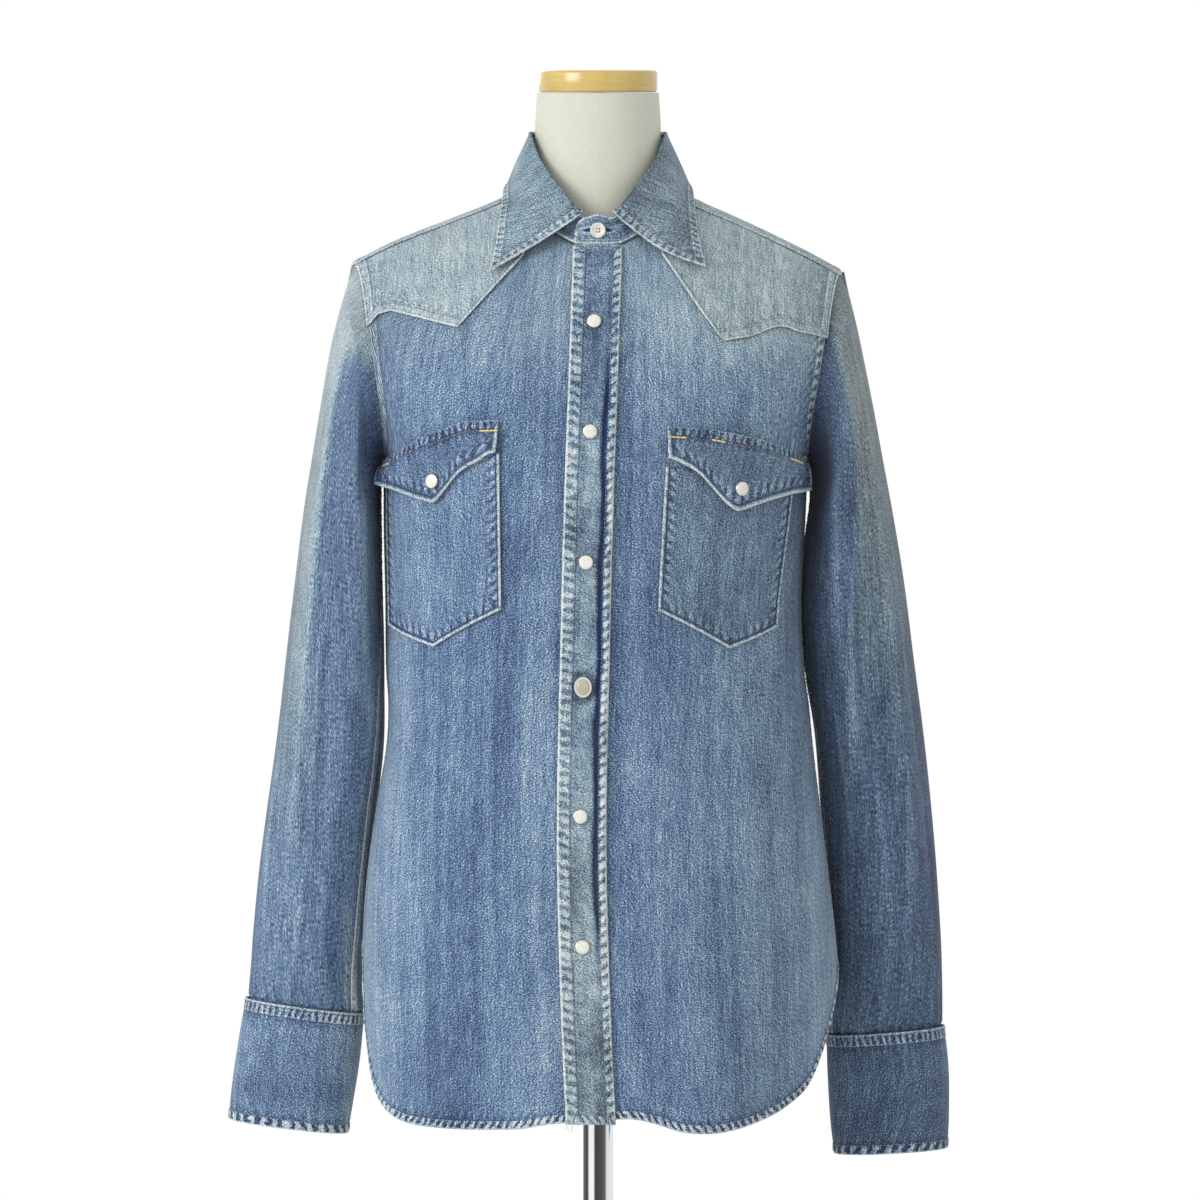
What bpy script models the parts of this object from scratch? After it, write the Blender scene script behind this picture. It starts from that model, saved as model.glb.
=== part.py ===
# A long-sleeved western denim shirt, worn on a limbless dress form on a pole and a round base.
# Metres, +Z up. The front faces -Y, the wearer's right side is at -X. The origin is at the centre
# of the base plate's underside.

from collections import namedtuple
from math import acos, asin, cos, exp, pi, radians, sin, sqrt

import bmesh
import bpy
from mathutils import Vector

# ---- driving sizes ---------------------------------------------------------------------------
cloth_wall = 0.0012        # one layer of denim
seam_gap = 0.0003          # between pieces that meet edge to edge
layer_gap = 0.0008         # between a panel and what is sewn on it
yoke_gap = 0.0014          # under the front yokes, which lie over the curve of the shoulders
underarm_z = 1.185         # where the armholes have their lowest point
shoulder_tip = 0.1815      # half the width from armhole to armhole
neck_point = 0.070         # where the shoulder line's height is given
neck_point_z = 1.378
shoulder_fall = 0.30       # slope of the shoulder line at the neck point
shoulder_droop = 1.5       # its further droop, per metre
Sag = namedtuple("Sag", "hollow fall")
shoulder_sags = {-1: Sag(0.0044, 0.0), 1: Sag(0.0026, 0.0058)}   # each side hangs its own way
ridge_depth_neck = 0.018   # how far the shoulder line lies behind the middle at the neck
ridge_depth_tip = 0.004    # and at the tip
neck_half_width = 0.057    # the neck seam, seen from above
neck_front = 0.073
neck_back = 0.056
placket_half = 0.0178      # half the width of the front strip
tail_z = 0.703             # lower end of the front strip

# ---- tables ----------------------------------------------------------------------------------
# The shirt's body below the armholes, as rings. right and left are the wearer's, so right is -X.
Ring = namedtuple("Ring", "z right left front back power")
rings = [
    Ring(1.185, 0.1580, 0.1550, 0.1150, 0.1050, 2.35),
    Ring(1.140, 0.1580, 0.1530, 0.1140, 0.1020, 2.30),
    Ring(1.080, 0.1568, 0.1500, 0.1110, 0.0940, 2.25),
    Ring(1.030, 0.1562, 0.1520, 0.1090, 0.0880, 2.20),
    Ring(1.003, 0.1545, 0.1555, 0.1085, 0.0860, 2.20),
    Ring(0.972, 0.1560, 0.1585, 0.1085, 0.0860, 2.20),
    Ring(0.930, 0.1630, 0.1635, 0.1100, 0.0900, 2.20),
    Ring(0.876, 0.1704, 0.1702, 0.1130, 0.0980, 2.20),
    Ring(0.822, 0.1738, 0.1762, 0.1160, 0.1040, 2.15),
    Ring(0.774, 0.1733, 0.1785, 0.1175, 0.1060, 2.15),
    Ring(0.700, 0.1728, 0.1765, 0.1190, 0.1070, 2.10),
]

# Soft folds of the body: face -1 is the front, across is the place between the middle (0) and
# the side seams (-1 and 1) at the fold's upper and lower end, rise is how far it stands out.
Fold = namedtuple("Fold", "face across_top across_low z_top z_low width rise")
folds = [
    Fold(-1, 0.42, 0.34, 0.98, 0.70, 0.13, 0.0060),
    Fold(-1, 0.16, 0.17, 0.90, 0.70, 0.07, -0.0030),
    Fold(-1, -0.36, -0.42, 0.90, 0.70, 0.12, 0.0030),
    Fold(-1, 0.86, 0.55, 1.22, 1.08, 0.08, 0.0030),
    Fold(-1, -0.86, -0.62, 1.20, 1.10, 0.08, 0.0020),
    Fold(1, 0.30, 0.36, 1.02, 0.70, 0.14, 0.0070),
    Fold(1, -0.34, -0.30, 1.00, 0.70, 0.13, 0.0060),
    Fold(1, 0.00, 0.02, 0.98, 0.72, 0.12, -0.0050),
]

# The hem's height from the middle of the front or back (0) to the notch at the side seam (1).
Hem = namedtuple("Hem", "across z")
hems = {
    -1: [Hem(0.00, 0.7045), Hem(0.10, 0.7034), Hem(0.15, 0.7016), Hem(0.20, 0.6992),
         Hem(0.30, 0.6981), Hem(0.45, 0.6980), Hem(0.55, 0.6991), Hem(0.60, 0.7006),
         Hem(0.65, 0.7034), Hem(0.70, 0.7076), Hem(0.75, 0.7143), Hem(0.80, 0.7256),
         Hem(0.85, 0.7440), Hem(0.90, 0.7700), Hem(0.95, 0.8000), Hem(1.00, 0.8220)],
    1: [Hem(0.00, 0.7045), Hem(0.05, 0.7066), Hem(0.10, 0.7056), Hem(0.15, 0.7016),
        Hem(0.20, 0.6972), Hem(0.25, 0.6956), Hem(0.30, 0.6957), Hem(0.35, 0.6974),
        Hem(0.40, 0.6998), Hem(0.50, 0.7070), Hem(0.60, 0.7178), Hem(0.65, 0.7254),
        Hem(0.70, 0.7376), Hem(0.75, 0.7532), Hem(0.80, 0.7700), Hem(0.85, 0.7840),
        Hem(0.90, 0.7950), Hem(0.95, 0.8025), Hem(1.00, 0.8070)],
}

# Sleeve sections from the armhole to the cuff: the outermost and innermost point of each, the
# half depth from front to back, and how far the section's middle lies behind the garment's.
Section = namedtuple("Section", "outer outer_z inner inner_z depth back")
sleeve_rows = {
    -1: [
        Section(0.1866, 1.310, 0.1600, 1.1795, 0.0605, 0.000),
        Section(0.1925, 1.289, 0.1606, 1.1725, 0.0625, 0.001),
        Section(0.1986, 1.262, 0.1610, 1.1630, 0.0645, 0.002),
        Section(0.2046, 1.226, 0.1612, 1.1490, 0.0665, 0.004),
        Section(0.2104, 1.190, 0.1612, 1.1320, 0.0685, 0.006),
        Section(0.2176, 1.146, 0.1612, 1.1060, 0.0690, 0.008),
        Section(0.2252, 1.088, 0.1600, 1.0680, 0.0665, 0.012),
        Section(0.2322, 1.033, 0.1594, 1.0210, 0.0615, 0.017),
        Section(0.2390, 0.981, 0.1594, 0.9720, 0.0560, 0.024),
        Section(0.2466, 0.928, 0.1650, 0.9190, 0.0500, 0.030),
        Section(0.2530, 0.880, 0.1700, 0.8710, 0.0455, 0.032),
        Section(0.2577, 0.832, 0.1745, 0.8220, 0.0410, 0.032),
        Section(0.2594, 0.805, 0.1762, 0.7940, 0.0375, 0.031),
        Section(0.2602, 0.7850, 0.1752, 0.7735, 0.0340, 0.030),
    ],
    1: [
        Section(0.1866, 1.303, 0.1572, 1.1795, 0.0605, 0.000),
        Section(0.1925, 1.279, 0.1580, 1.1725, 0.0625, 0.001),
        Section(0.1988, 1.250, 0.1584, 1.1630, 0.0645, 0.002),
        Section(0.2052, 1.219, 0.1578, 1.1490, 0.0665, 0.006),
        Section(0.2115, 1.186, 0.1556, 1.1310, 0.0685, 0.013),
        Section(0.2196, 1.142, 0.1528, 1.1050, 0.0690, 0.020),
        Section(0.2280, 1.090, 0.1504, 1.0660, 0.0665, 0.025),
        Section(0.2352, 1.035, 0.1552, 1.0200, 0.0615, 0.027),
        Section(0.2414, 0.988, 0.1620, 0.9760, 0.0570, 0.029),
        Section(0.2482, 0.930, 0.1668, 0.9220, 0.0510, 0.034),
        Section(0.2531, 0.880, 0.1704, 0.8740, 0.0465, 0.038),
        Section(0.2566, 0.827, 0.1736, 0.8220, 0.0425, 0.040),
        Section(0.2571, 0.790, 0.1728, 0.7850, 0.0385, 0.038),
        Section(0.2566, 0.7635, 0.1716, 0.7570, 0.0345, 0.036),
    ],
}
cuff_rows = {
    -1: [
        Section(0.2614, 0.7840, 0.1742, 0.7725, 0.0355, 0.030),
        Section(0.2674, 0.7480, 0.1776, 0.7365, 0.0350, 0.029),
        Section(0.2722, 0.7135, 0.1832, 0.7025, 0.0335, 0.028),
        Section(0.2740, 0.6940, 0.1866, 0.6833, 0.0325, 0.027),
    ],
    1: [
        Section(0.2576, 0.7625, 0.1708, 0.7560, 0.0360, 0.036),
        Section(0.2610, 0.7310, 0.1716, 0.7250, 0.0355, 0.035),
        Section(0.2612, 0.6965, 0.1736, 0.6920, 0.0340, 0.034),
        Section(0.2598, 0.6720, 0.1766, 0.6677, 0.0330, 0.033),
    ],
}

# Creases of the sleeves: turn is the place round the sleeve in degrees (0 outermost, 90 front,
# 180 innermost) at the crease's upper and lower end, row the section where it starts and ends.
Crease = namedtuple("Crease", "turn_top turn_low row_top row_low width rise")
creases = {
    -1: [
        Crease(50, 68, 2, 13, 14, 0.0030),
        Crease(88, 92, 3, 12, 15, -0.0026),
        Crease(120, 132, 3, 9, 13, 0.0028),
        Crease(-60, -80, 3, 12, 18, 0.0030),
        Crease(-115, -100, 4, 12, 16, -0.0026),
    ],
    1: [
        Crease(112, 104, 3, 10, 14, 0.0030),
        Crease(80, 84, 3, 11, 15, -0.0024),
        Crease(54, 62, 6, 12, 16, 0.0026),
        Crease(-64, -84, 2, 11, 18, 0.0030),
        Crease(-112, -102, 4, 12, 16, -0.0026),
    ],
}

# The collar, from the middle of the front (0 degrees) round to the back (180): the fold's height,
# then the leaf's outer edge.
Station = namedtuple("Station", "turn fold_z edge_x edge_y edge_z")
collar_stations = [
    Station(14.0, 1.3625, 0.0786, -0.0850, 1.3215),
    Station(30.0, 1.3775, 0.0744, -0.0690, 1.3370),
    Station(45.0, 1.3910, 0.0718, -0.0510, 1.3530),
    Station(60.0, 1.4050, 0.0702, -0.0300, 1.3670),
    Station(76.0, 1.4205, 0.0694, -0.0040, 1.3790),
    Station(95.0, 1.4262, 0.0682, 0.0210, 1.3700),
    Station(120.0, 1.4275, 0.0582, 0.0470, 1.3650),
    Station(150.0, 1.4275, 0.0325, 0.0650, 1.3600),
    Station(180.0, 1.4275, 0.0000, 0.0710, 1.3600),
]

# Outlines of what is sewn on the fronts, as (distance from the middle, height).
yoke_edges = {
    -1: {"diagonal": [(0.046, 1.351), (0.0538, 1.3290), (0.1010, 1.2765)],
         "lower": [(0.1010, 1.2765), (0.1250, 1.2830), (0.1500, 1.2900), (0.1590, 1.2880),
                   (0.1660, 1.2805)]},
    1: {"diagonal": [(0.046, 1.351), (0.0462, 1.3300), (0.0722, 1.2905), (0.0880, 1.2690)],
        "lower": [(0.0880, 1.2690), (0.0915, 1.2668), (0.1007, 1.2685), (0.1095, 1.2700),
                  (0.1166, 1.2726), (0.1237, 1.2760), (0.1310, 1.2778), (0.1377, 1.2772),
                  (0.1448, 1.2742), (0.1530, 1.2732), (0.1650, 1.2712)]},
}
pocket_outlines = {
    -1: {"top": [(0.1528, 1.1690), (0.1100, 1.1790), (0.0705, 1.1860)],
         "lower": [(0.1515, 1.0620), (0.1180, 1.0462), (0.0690, 1.0732)]},
    1: {"top": [(0.0485, 1.1760), (0.0950, 1.1690), (0.1400, 1.1590)],
        "lower": [(0.0430, 1.0725), (0.0938, 1.0450), (0.1288, 1.0605)]},
}
flap_outlines = {
    -1: {"top": [(0.1545, 1.1815), (0.1450, 1.1885), (0.1170, 1.2020), (0.0950, 1.2095),
                 (0.0708, 1.2095)],
         "lower": [(0.1530, 1.1650), (0.1385, 1.1585), (0.1170, 1.1500), (0.1060, 1.1605),
                   (0.0725, 1.1845)]},
    1: {"top": [(0.0497, 1.2047), (0.0795, 1.2034), (0.1140, 1.1975), (0.1495, 1.1845)],
        "lower": [(0.0497, 1.1826), (0.0795, 1.1634), (0.0988, 1.1448), (0.1170, 1.1490),
                  (0.1500, 1.1612)]},
}

# The front strip leans a little: how far its middle lies beside the garment's, by height.
Lean = namedtuple("Lean", "z x")
placket_lean = [Lean(1.345, 0.0), Lean(1.25, -0.0030), Lean(1.15, -0.0065), Lean(1.01, -0.0100),
                Lean(0.94, -0.0115), Lean(0.87, -0.0112), Lean(0.78, -0.0085), Lean(0.69, -0.0045)]

snap_heights = [1.2800, 1.2010, 1.1073, 1.0173, 0.9238, 0.8302]
snap_radius = 0.0054
mid_snap_radius = 0.0064
button_z = 1.3492
button_radius = 0.0057
snap_lift = 0.0027         # the snaps' undersides lie this far off the body's surface
flap_snap_lift = 0.0054
stand_wall = 0.0016
stand_lap = 18.0           # how far the collar stand's ends pass the middle, in degrees
leaf_rest = 0.0062         # the collar's edge stays this far above the shoulders
fold_half_width = 0.0493   # half the width of the fold, seen from the front
fold_front = 1.3640        # height of the fold line in the middle of the front
tab_turn = 10.0            # the stand's free end is rounded over this turn, in degrees
tab_drop = 0.0125          # and falls by this at its tip
LeafSag = namedtuple("LeafSag", "tip middle")
leaf_sags = {-1: LeafSag(0.0030, 0.0020), 1: LeafSag(0.0, 0.0065)}   # the leaf's front edges
leaf_swell = 0.0014        # how far the collar's leaf is rounded out between fold and edge

# The dress form and its stand.
form_bottom = 0.770
neck_top_z = 1.4560
cap_height = 0.016
cap_radius = 0.0440
cap_tilt = radians(5.4)
pole_radius = 0.011
base_radius = 0.165
base_height = 0.010

colours = {
    "denim_body": (0.115, 0.215, 0.400), "denim_pale": (0.240, 0.360, 0.450),
    "denim_dark": (0.085, 0.170, 0.300), "pearl": (0.860, 0.850, 0.820),
    "steel": (0.620, 0.600, 0.560), "linen": (0.780, 0.770, 0.740),
    "wood": (0.720, 0.420, 0.180), "chrome": (0.800, 0.800, 0.820),
}


# ---- small helpers ---------------------------------------------------------------------------
def between(rows, key, at, column):
    """A smooth value of one column where another column has the value at."""
    keys = [getattr(row, key) for row in rows]
    values = [getattr(row, column) for row in rows]
    if keys[0] > keys[-1]:
        keys.reverse()
        values.reverse()
    at = min(max(at, keys[0]), keys[-1])
    i = max(k for k in range(len(keys) - 1) if keys[k] <= at)
    span = keys[i + 1] - keys[i]
    f = (at - keys[i]) / span
    slope = (values[i + 1] - values[i]) / span
    before = slope if i == 0 else (values[i + 1] - values[i - 1]) / (keys[i + 1] - keys[i - 1])
    last = i + 2 >= len(keys)
    after = slope if last else (values[i + 2] - values[i]) / (keys[i + 2] - keys[i])
    h = f * f * (3 - 2 * f)
    return (values[i] * (1 - h) + values[i + 1] * h
            + span * (before * f * (1 - f) ** 2 - after * f * f * (1 - f)))


def along(points, f):
    """A point on a broken line through points, f from 0 to 1 by length."""
    lengths = [(Vector(b) - Vector(a)).length for a, b in zip(points, points[1:])]
    left = min(max(f, 0.0), 1.0) * sum(lengths)
    for (a, b), length in zip(zip(points, points[1:]), lengths):
        if left <= length:
            return Vector(a).lerp(Vector(b), left / length)
        left -= length
    return Vector(points[-1])


def patch(bottom, top, start, end, u, v):
    """A point inside four boundary curves (a Coons patch)."""
    sides = start(v) * (1 - u) + end(v) * u
    ends = bottom(u) * (1 - v) + top(u) * v
    corners = (bottom(0) * (1 - u) + bottom(1) * u) * (1 - v) + (top(0) * (1 - u) + top(1) * u) * v
    return sides + ends - corners


def bump(x, width):
    return exp(-(x / width) ** 2)


def ease(f):
    f = min(max(f, 0.0), 1.0)
    return f * f * (3 - 2 * f)


# ---- the shirt's body surface ----------------------------------------------------------------
# A place on the body is (across, level). across runs from 0 in the middle to -1 or 1 at the side
# seams. level is the height above the underarm in metres where it is negative, and runs from 0
# at the underarm to 1 on the shoulder line. face is -1 on the front and 1 on the back.

def ridge_z(x):
    out = sqrt(x * x + 0.0009) - sqrt(neck_point ** 2 + 0.0009)
    sag = shoulder_sags[1 if x > 0 else -1]
    away = abs(x) - 0.055
    lowered = sag.hollow * bump(away - 0.055, 0.050) * ease(away / 0.030) + sag.fall * ease(away / 0.115)
    return neck_point_z - shoulder_fall * out - shoulder_droop * max(out, 0.0) ** 2 - lowered


def ridge_y(x):
    return ridge_depth_neck + (ridge_depth_tip - ridge_depth_neck) * min(abs(x) / shoulder_tip, 1)


def roundness(face):
    return 2.0 if face < 0 else 2.5


def half_width(across, level):
    side = "left" if across > 0 else "right"
    if level < 0:
        return between(rings, "z", underarm_z + level, side)
    rise = sin(level * pi / 2)
    low = getattr(rings[0], side)
    return low + (shoulder_tip - low) * (1 - (1 - rise) ** 2)


def squareness(level):
    if level < 0:
        return between(rings, "z", underarm_z + level, "power")
    return rings[0].power + (3.0 - rings[0].power) * ease(level / 0.35)


def across_at(x, level):
    share = min(abs(x) / half_width(x, level), 1.0)
    return (1 if x > 0 else -1) * asin(share ** (squareness(level) / 2)) * 2 / pi


def body_point(face, across, level):
    angle = abs(across) * pi / 2
    sign = 1 if across > 0 else -1
    power = 2 / squareness(level)
    wide = sin(angle) ** power
    deep = max(cos(angle), 0.0) ** power
    x = sign * half_width(across, level) * wide
    if level < 0:
        z = underarm_z + level
        y = face * between(rings, "z", z, "front" if face < 0 else "back") * deep
    else:
        run = max(cos(level * pi / 2), 0.0) ** (2 / roundness(face))
        rise = sin(level * pi / 2) ** (2 / roundness(face))
        depth = rings[0].front if face < 0 else rings[0].back
        y = ridge_y(x) * (1 - run) + face * depth * run * deep
        z = underarm_z + (ridge_z(x) - underarm_z) * rise
    for fold in folds:
        if fold.face == face:
            f = (fold.z_top - z) / (fold.z_top - fold.z_low)
            place = fold.across_top + (fold.across_low - fold.across_top) * f
            grow = ease(f) if fold.z_low <= 0.72 else ease(2 * f) * ease(2 - 2 * f)
            y += face * fold.rise * grow * bump(across - place, fold.width) * deep
    return Vector((x, y, z))


def body_skin(face, across, level, lift=0.0):
    """A point lifted off the body's surface along its normal."""
    step = 0.002
    a0, a1 = max(across - step, -1.0), min(across + step, 1.0)
    l0, l1 = level - step, min(level + step, 1.0)
    side = body_point(face, a1, level) - body_point(face, a0, level)
    up = body_point(face, across, l1) - body_point(face, across, l0)
    normal = side.cross(up).normalized() * (-face)
    return body_point(face, across, level) + normal * lift


def front_place(x, z):
    """The (across, level) of a point of the front, from its distance beside the middle and z."""
    level = z - underarm_z
    if level > 0:
        share = level / (ridge_z(x) - underarm_z)
        level = asin(min(share, 1.0) ** (roundness(-1) / 2)) * 2 / pi
    return Vector((across_at(x, level), level))


def top_place(x, y):
    """The (across, over) of a point seen from above: over is the level on the back, and 2 less
    the level on the front, so that it runs on over the shoulder line."""
    middle = ridge_y(x)
    face = -1 if y < middle else 1
    depth = rings[0].front if face < 0 else rings[0].back
    level = 0.7
    for _ in range(6):
        across = across_at(x, level)
        deep = cos(abs(across) * pi / 2) ** (2 / squareness(level))
        run = (y - middle) / (face * depth * deep - middle)
        level = acos(min(max(run, 0.0), 1.0) ** (roundness(face) / 2)) * 2 / pi
    return Vector((across, 2 - level if face < 0 else level))


def shoulder_height(x, y):
    """The height of the shirt's shoulders at a place seen from above."""
    across, over = top_place(x, y)
    if over > 1:
        return body_point(-1, across, 2 - over).z
    return body_point(1, across, over).z


def armhole_across(face, level):
    """Where the armhole cuts the body's surface at a level."""
    if level <= 0:
        return 0.9995
    widest = 25.0 if face < 0 else 23.0
    return 0.9995 - widest / 90 * sqrt(max(sin(pi * min(level, 1.0) ** 0.75), 0.0))


def hem_level(across):
    return between(hems[1 if across > 0 else -1], "across", abs(across), "z") - underarm_z


def neck_xy(turn):
    angle = radians(turn)
    reach = neck_front if cos(angle) > 0 else neck_back
    return neck_half_width * sin(angle), -reach * cos(angle)


def neck_place(turn):
    x, y = neck_xy(turn)
    return top_place(x, y)


shoulder_seam_level = {-1: 0.86, 1: 0.81}     # the shoulder seams lie a little to the front
seam_turn = {}                                 # where they meet the neck seam


def find_seam_turns():
    for side in (-1, 1):
        low, high = 40.0, 100.0
        for _ in range(30):
            mid = (low + high) / 2
            if 2 - neck_place(side * mid)[1] < shoulder_seam_level[side]:
                low = mid
            else:
                high = mid
        seam_turn[side] = mid


def back_yoke_level(across):
    return 0.20 + 0.20 * abs(across)


# ---- meshes ----------------------------------------------------------------------------------
def material(name, roughness=0.8, metallic=0.0):
    found = bpy.data.materials.get(name)
    if found:
        return found
    made = bpy.data.materials.new(name)
    made.use_nodes = True
    shader = made.node_tree.nodes["Principled BSDF"]
    shader.inputs["Base Color"].default_value = (*colours[name], 1.0)
    shader.inputs["Roughness"].default_value = roughness
    shader.inputs["Metallic"].default_value = metallic
    return made


def finish(name, mesh, look, sharp=35):
    bmesh.ops.recalc_face_normals(mesh, faces=mesh.faces)
    data = bpy.data.meshes.new(name)
    mesh.to_mesh(data)
    mesh.free()
    data.shade_smooth()
    data.set_sharp_from_angle(angle=radians(sharp))
    data.materials.append(look)
    made = bpy.data.objects.new(name, data)
    bpy.context.scene.collection.objects.link(made)
    return made


def wall(name, outside, inside, look, around=False):
    """A closed wall between two grids of points, as an open sheet or as a tube."""
    mesh = bmesh.new()
    rows, columns = len(outside), len(outside[0])
    grids = [[[mesh.verts.new(p) for p in row] for row in grid] for grid in (outside, inside)]
    last = columns if around else columns - 1
    for grid in grids:
        for i in range(rows - 1):
            for j in range(last):
                k = (j + 1) % columns
                mesh.faces.new((grid[i][j], grid[i][k], grid[i + 1][k], grid[i + 1][j]))
    out, ins = grids
    for i in (0, rows - 1):
        for j in range(last):
            k = (j + 1) % columns
            mesh.faces.new((out[i][j], out[i][k], ins[i][k], ins[i][j]))
    if not around:
        for j in (0, columns - 1):
            for i in range(rows - 1):
                mesh.faces.new((out[i][j], out[i + 1][j], ins[i + 1][j], ins[i][j]))
    return finish(name, mesh, look)


def panel(name, place, columns, rows, look, face=-1, lift=0.0, thick=cloth_wall):
    """A wall on the body's surface. place(u, v) gives (across, level, extra lift)."""
    grids = []
    for depth in (lift + thick, lift):
        grid = []
        for i in range(rows + 1):
            line = []
            for j in range(columns + 1):
                across, level, extra = place(j / columns, i / rows)
                side = face
                if level > 1:
                    side, level = -1, 2 - level
                line.append(body_skin(side, across, level, depth + extra))
            grid.append(line)
        grids.append(grid)
    return wall(name, grids[0], grids[1], look)


def turned(name, profile, place, axis, look, steps=10):
    """A solid of revolution: profile is (radius, height) from the bottom's middle to the top's."""
    mesh = bmesh.new()
    up = Vector((0, 0, 1))
    turn = up.rotation_difference(axis.normalized())
    loops = []
    for radius, height in profile:
        if radius == 0:
            loops.append([mesh.verts.new(place + turn @ Vector((0, 0, height)))])
            continue
        loop = []
        for k in range(steps):
            angle = 2 * pi * k / steps
            point = Vector((radius * cos(angle), radius * sin(angle), height))
            loop.append(mesh.verts.new(place + turn @ point))
        loops.append(loop)
    for low, high in zip(loops, loops[1:]):
        for k in range(steps):
            m = (k + 1) % steps
            if len(low) == 1:
                mesh.faces.new((low[0], high[k], high[m]))
            elif len(high) == 1:
                mesh.faces.new((low[k], low[m], high[0]))
            else:
                mesh.faces.new((low[k], low[m], high[m], high[k]))
    return finish(name, mesh, look, sharp=40)


# ---- fronts, back and yokes ------------------------------------------------------------------
def placket_middle(z):
    return between(placket_lean, "z", z, "x")


def front_edge_x(side, z):
    """The fronts overlap: each runs past the strip's middle to its far edge."""
    reach = placket_half - 0.0008
    return placket_middle(z) - side * reach


def level_z(level):
    """Roughly the height of a level near the middle of the front."""
    return underarm_z + (level if level < 0 else 0.205 * sin(level * pi / 2))


def front_top(side, u, first_turn):
    """The front's upper edge: along the neck seam, then along the shoulder seam."""
    corner = seam_turn[side]
    bend = 0.36
    if u < bend:
        turn = first_turn + (side * corner - first_turn) * u / bend
        across, over = neck_place(turn)
        return Vector((across, 2 - over))
    start = neck_place(side * corner)[0]
    level = shoulder_seam_level[side]
    end = side * armhole_across(-1, level)
    return Vector((start + (end - start) * (u - bend) / (1 - bend), level))


def front_lap(side, across, level):
    """The wearer's right front passes under the left one."""
    if side > 0:
        return 0.0
    x = body_point(-1, across, level).x - placket_middle(level_z(level))
    return -(cloth_wall + layer_gap) * ease((x + 0.055) / 0.030)


def make_front(side):
    name = "front_left" if side > 0 else "front_right"
    lower = 0.50

    def edge(level):
        return across_at(front_edge_x(side, level_z(level)), level)

    top_x = front_edge_x(side, 1.338)
    first_turn = -side * asin(abs(top_x) / neck_half_width) * 180 / pi
    start_level = front_top(side, 0, first_turn)[1]

    def place(u, v):
        if v <= lower:
            f = v / lower
            guess = edge(-0.45) + (side * 0.9995 - edge(-0.45)) * u
            low = hem_level(guess)
            level = low * (1 - f)
            across = edge(level) + (side * 0.9995 - edge(level)) * u
        else:
            f = (v - lower) / (1 - lower)
            shoulder = shoulder_seam_level[side]
            spot = patch(
                lambda s: Vector((edge(0) + (side * 0.9995 - edge(0)) * s, 0)),
                lambda s: front_top(side, s, first_turn),
                lambda t: Vector((edge(t * start_level), t * start_level)),
                lambda t: Vector((side * armhole_across(-1, t * shoulder), t * shoulder)),
                u, f)
            across, level = spot
        return across, level, front_lap(side, across, level)

    return panel(name, place, 12, 18, material("denim_body"), lift=-cloth_wall)


def make_back():
    def place(u, v):
        lower = 0.62
        sign = 2 * u - 1
        if v <= lower:
            f = v / lower
            level = hem_level(sign) * (1 - f)
            return sign * 0.9995, level, 0.0
        f = (v - lower) / (1 - lower)
        level = f * (back_yoke_level(sign) - 0.004)
        return sign * armhole_across(1, level), level, 0.0

    return panel("back", place, 20, 13, material("denim_body"), face=1, lift=-cloth_wall)


def back_yoke_top(u):
    """The back yoke's upper edge: shoulder seam, round the neck, shoulder seam."""
    sign = 1 if u > 0.5 else -1
    out = abs(2 * u - 1)
    bend = 0.55
    corner = seam_turn[sign]
    if out < bend:
        return neck_place(sign * (180 - (180 - corner) * out / bend))
    start = neck_place(sign * corner)[0]
    level = shoulder_seam_level[sign] + 0.006
    end = sign * armhole_across(-1, level)
    return Vector((start + (end - start) * (out - bend) / (1 - bend), 2 - level))


def armhole_place(sign, over):
    if over > 1:
        return Vector((sign * armhole_across(-1, 2 - over), over))
    return Vector((sign * armhole_across(1, over), over))


def make_back_yoke():
    def low(u):
        sign = 2 * u - 1
        level = back_yoke_level(sign)
        return Vector((sign * armhole_across(1, level), level))

    def side(sign):
        start = back_yoke_level(1)
        end = 2 - shoulder_seam_level[sign] - 0.006
        return lambda v: armhole_place(sign, start + (end - start) * v)

    def place(u, v):
        across, over = patch(low, back_yoke_top, side(-1), side(1), u, v)
        return across, over, 0.0

    return panel("yoke_back", place, 22, 8, material("denim_pale"), face=1, lift=-cloth_wall)


def make_front_yoke(side):
    edges = yoke_edges[side]

    def low(u):
        x, z = along(edges["lower"], u)
        across, level = front_place(side * x, z)
        if u > 0.98:
            across = side * armhole_across(-1, level)
        return Vector((across, level))

    def inner(v):
        x, z = along(edges["diagonal"], 1 - v)
        return front_place(side * x, z)

    start_x = edges["diagonal"][0][0]
    start_turn = asin(start_x / neck_half_width) * 180 / pi
    start = front_place(side * start_x, edges["diagonal"][0][1])

    def top(u):
        bend = 0.25
        corner = seam_turn[side]
        level = shoulder_seam_level[side] - 0.004
        if u < bend:
            turn = start_turn + (corner - 1.0 - start_turn) * u / bend
            across, over = neck_place(side * turn)
            spot = Vector((across + side * 0.012, 2 - over))
            return start.lerp(spot, ease(4 * u / bend)) if u / bend < 0.25 else spot
        first = neck_place(side * (corner - 1.0))[0] + side * 0.012
        end = side * armhole_across(-1, level)
        return Vector((first + (end - first) * (u - bend) / (1 - bend), level))

    def outer(v):
        level = low(1)[1] + (top(1)[1] - low(1)[1]) * v
        return Vector((side * armhole_across(-1, level), level))

    def place(u, v):
        across, level = patch(low, top, inner, outer, u, v)
        return across, level, 0.0

    name = "yoke_left" if side > 0 else "yoke_right"
    return panel(name, place, 12, 7, material("denim_pale"), lift=yoke_gap)


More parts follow.
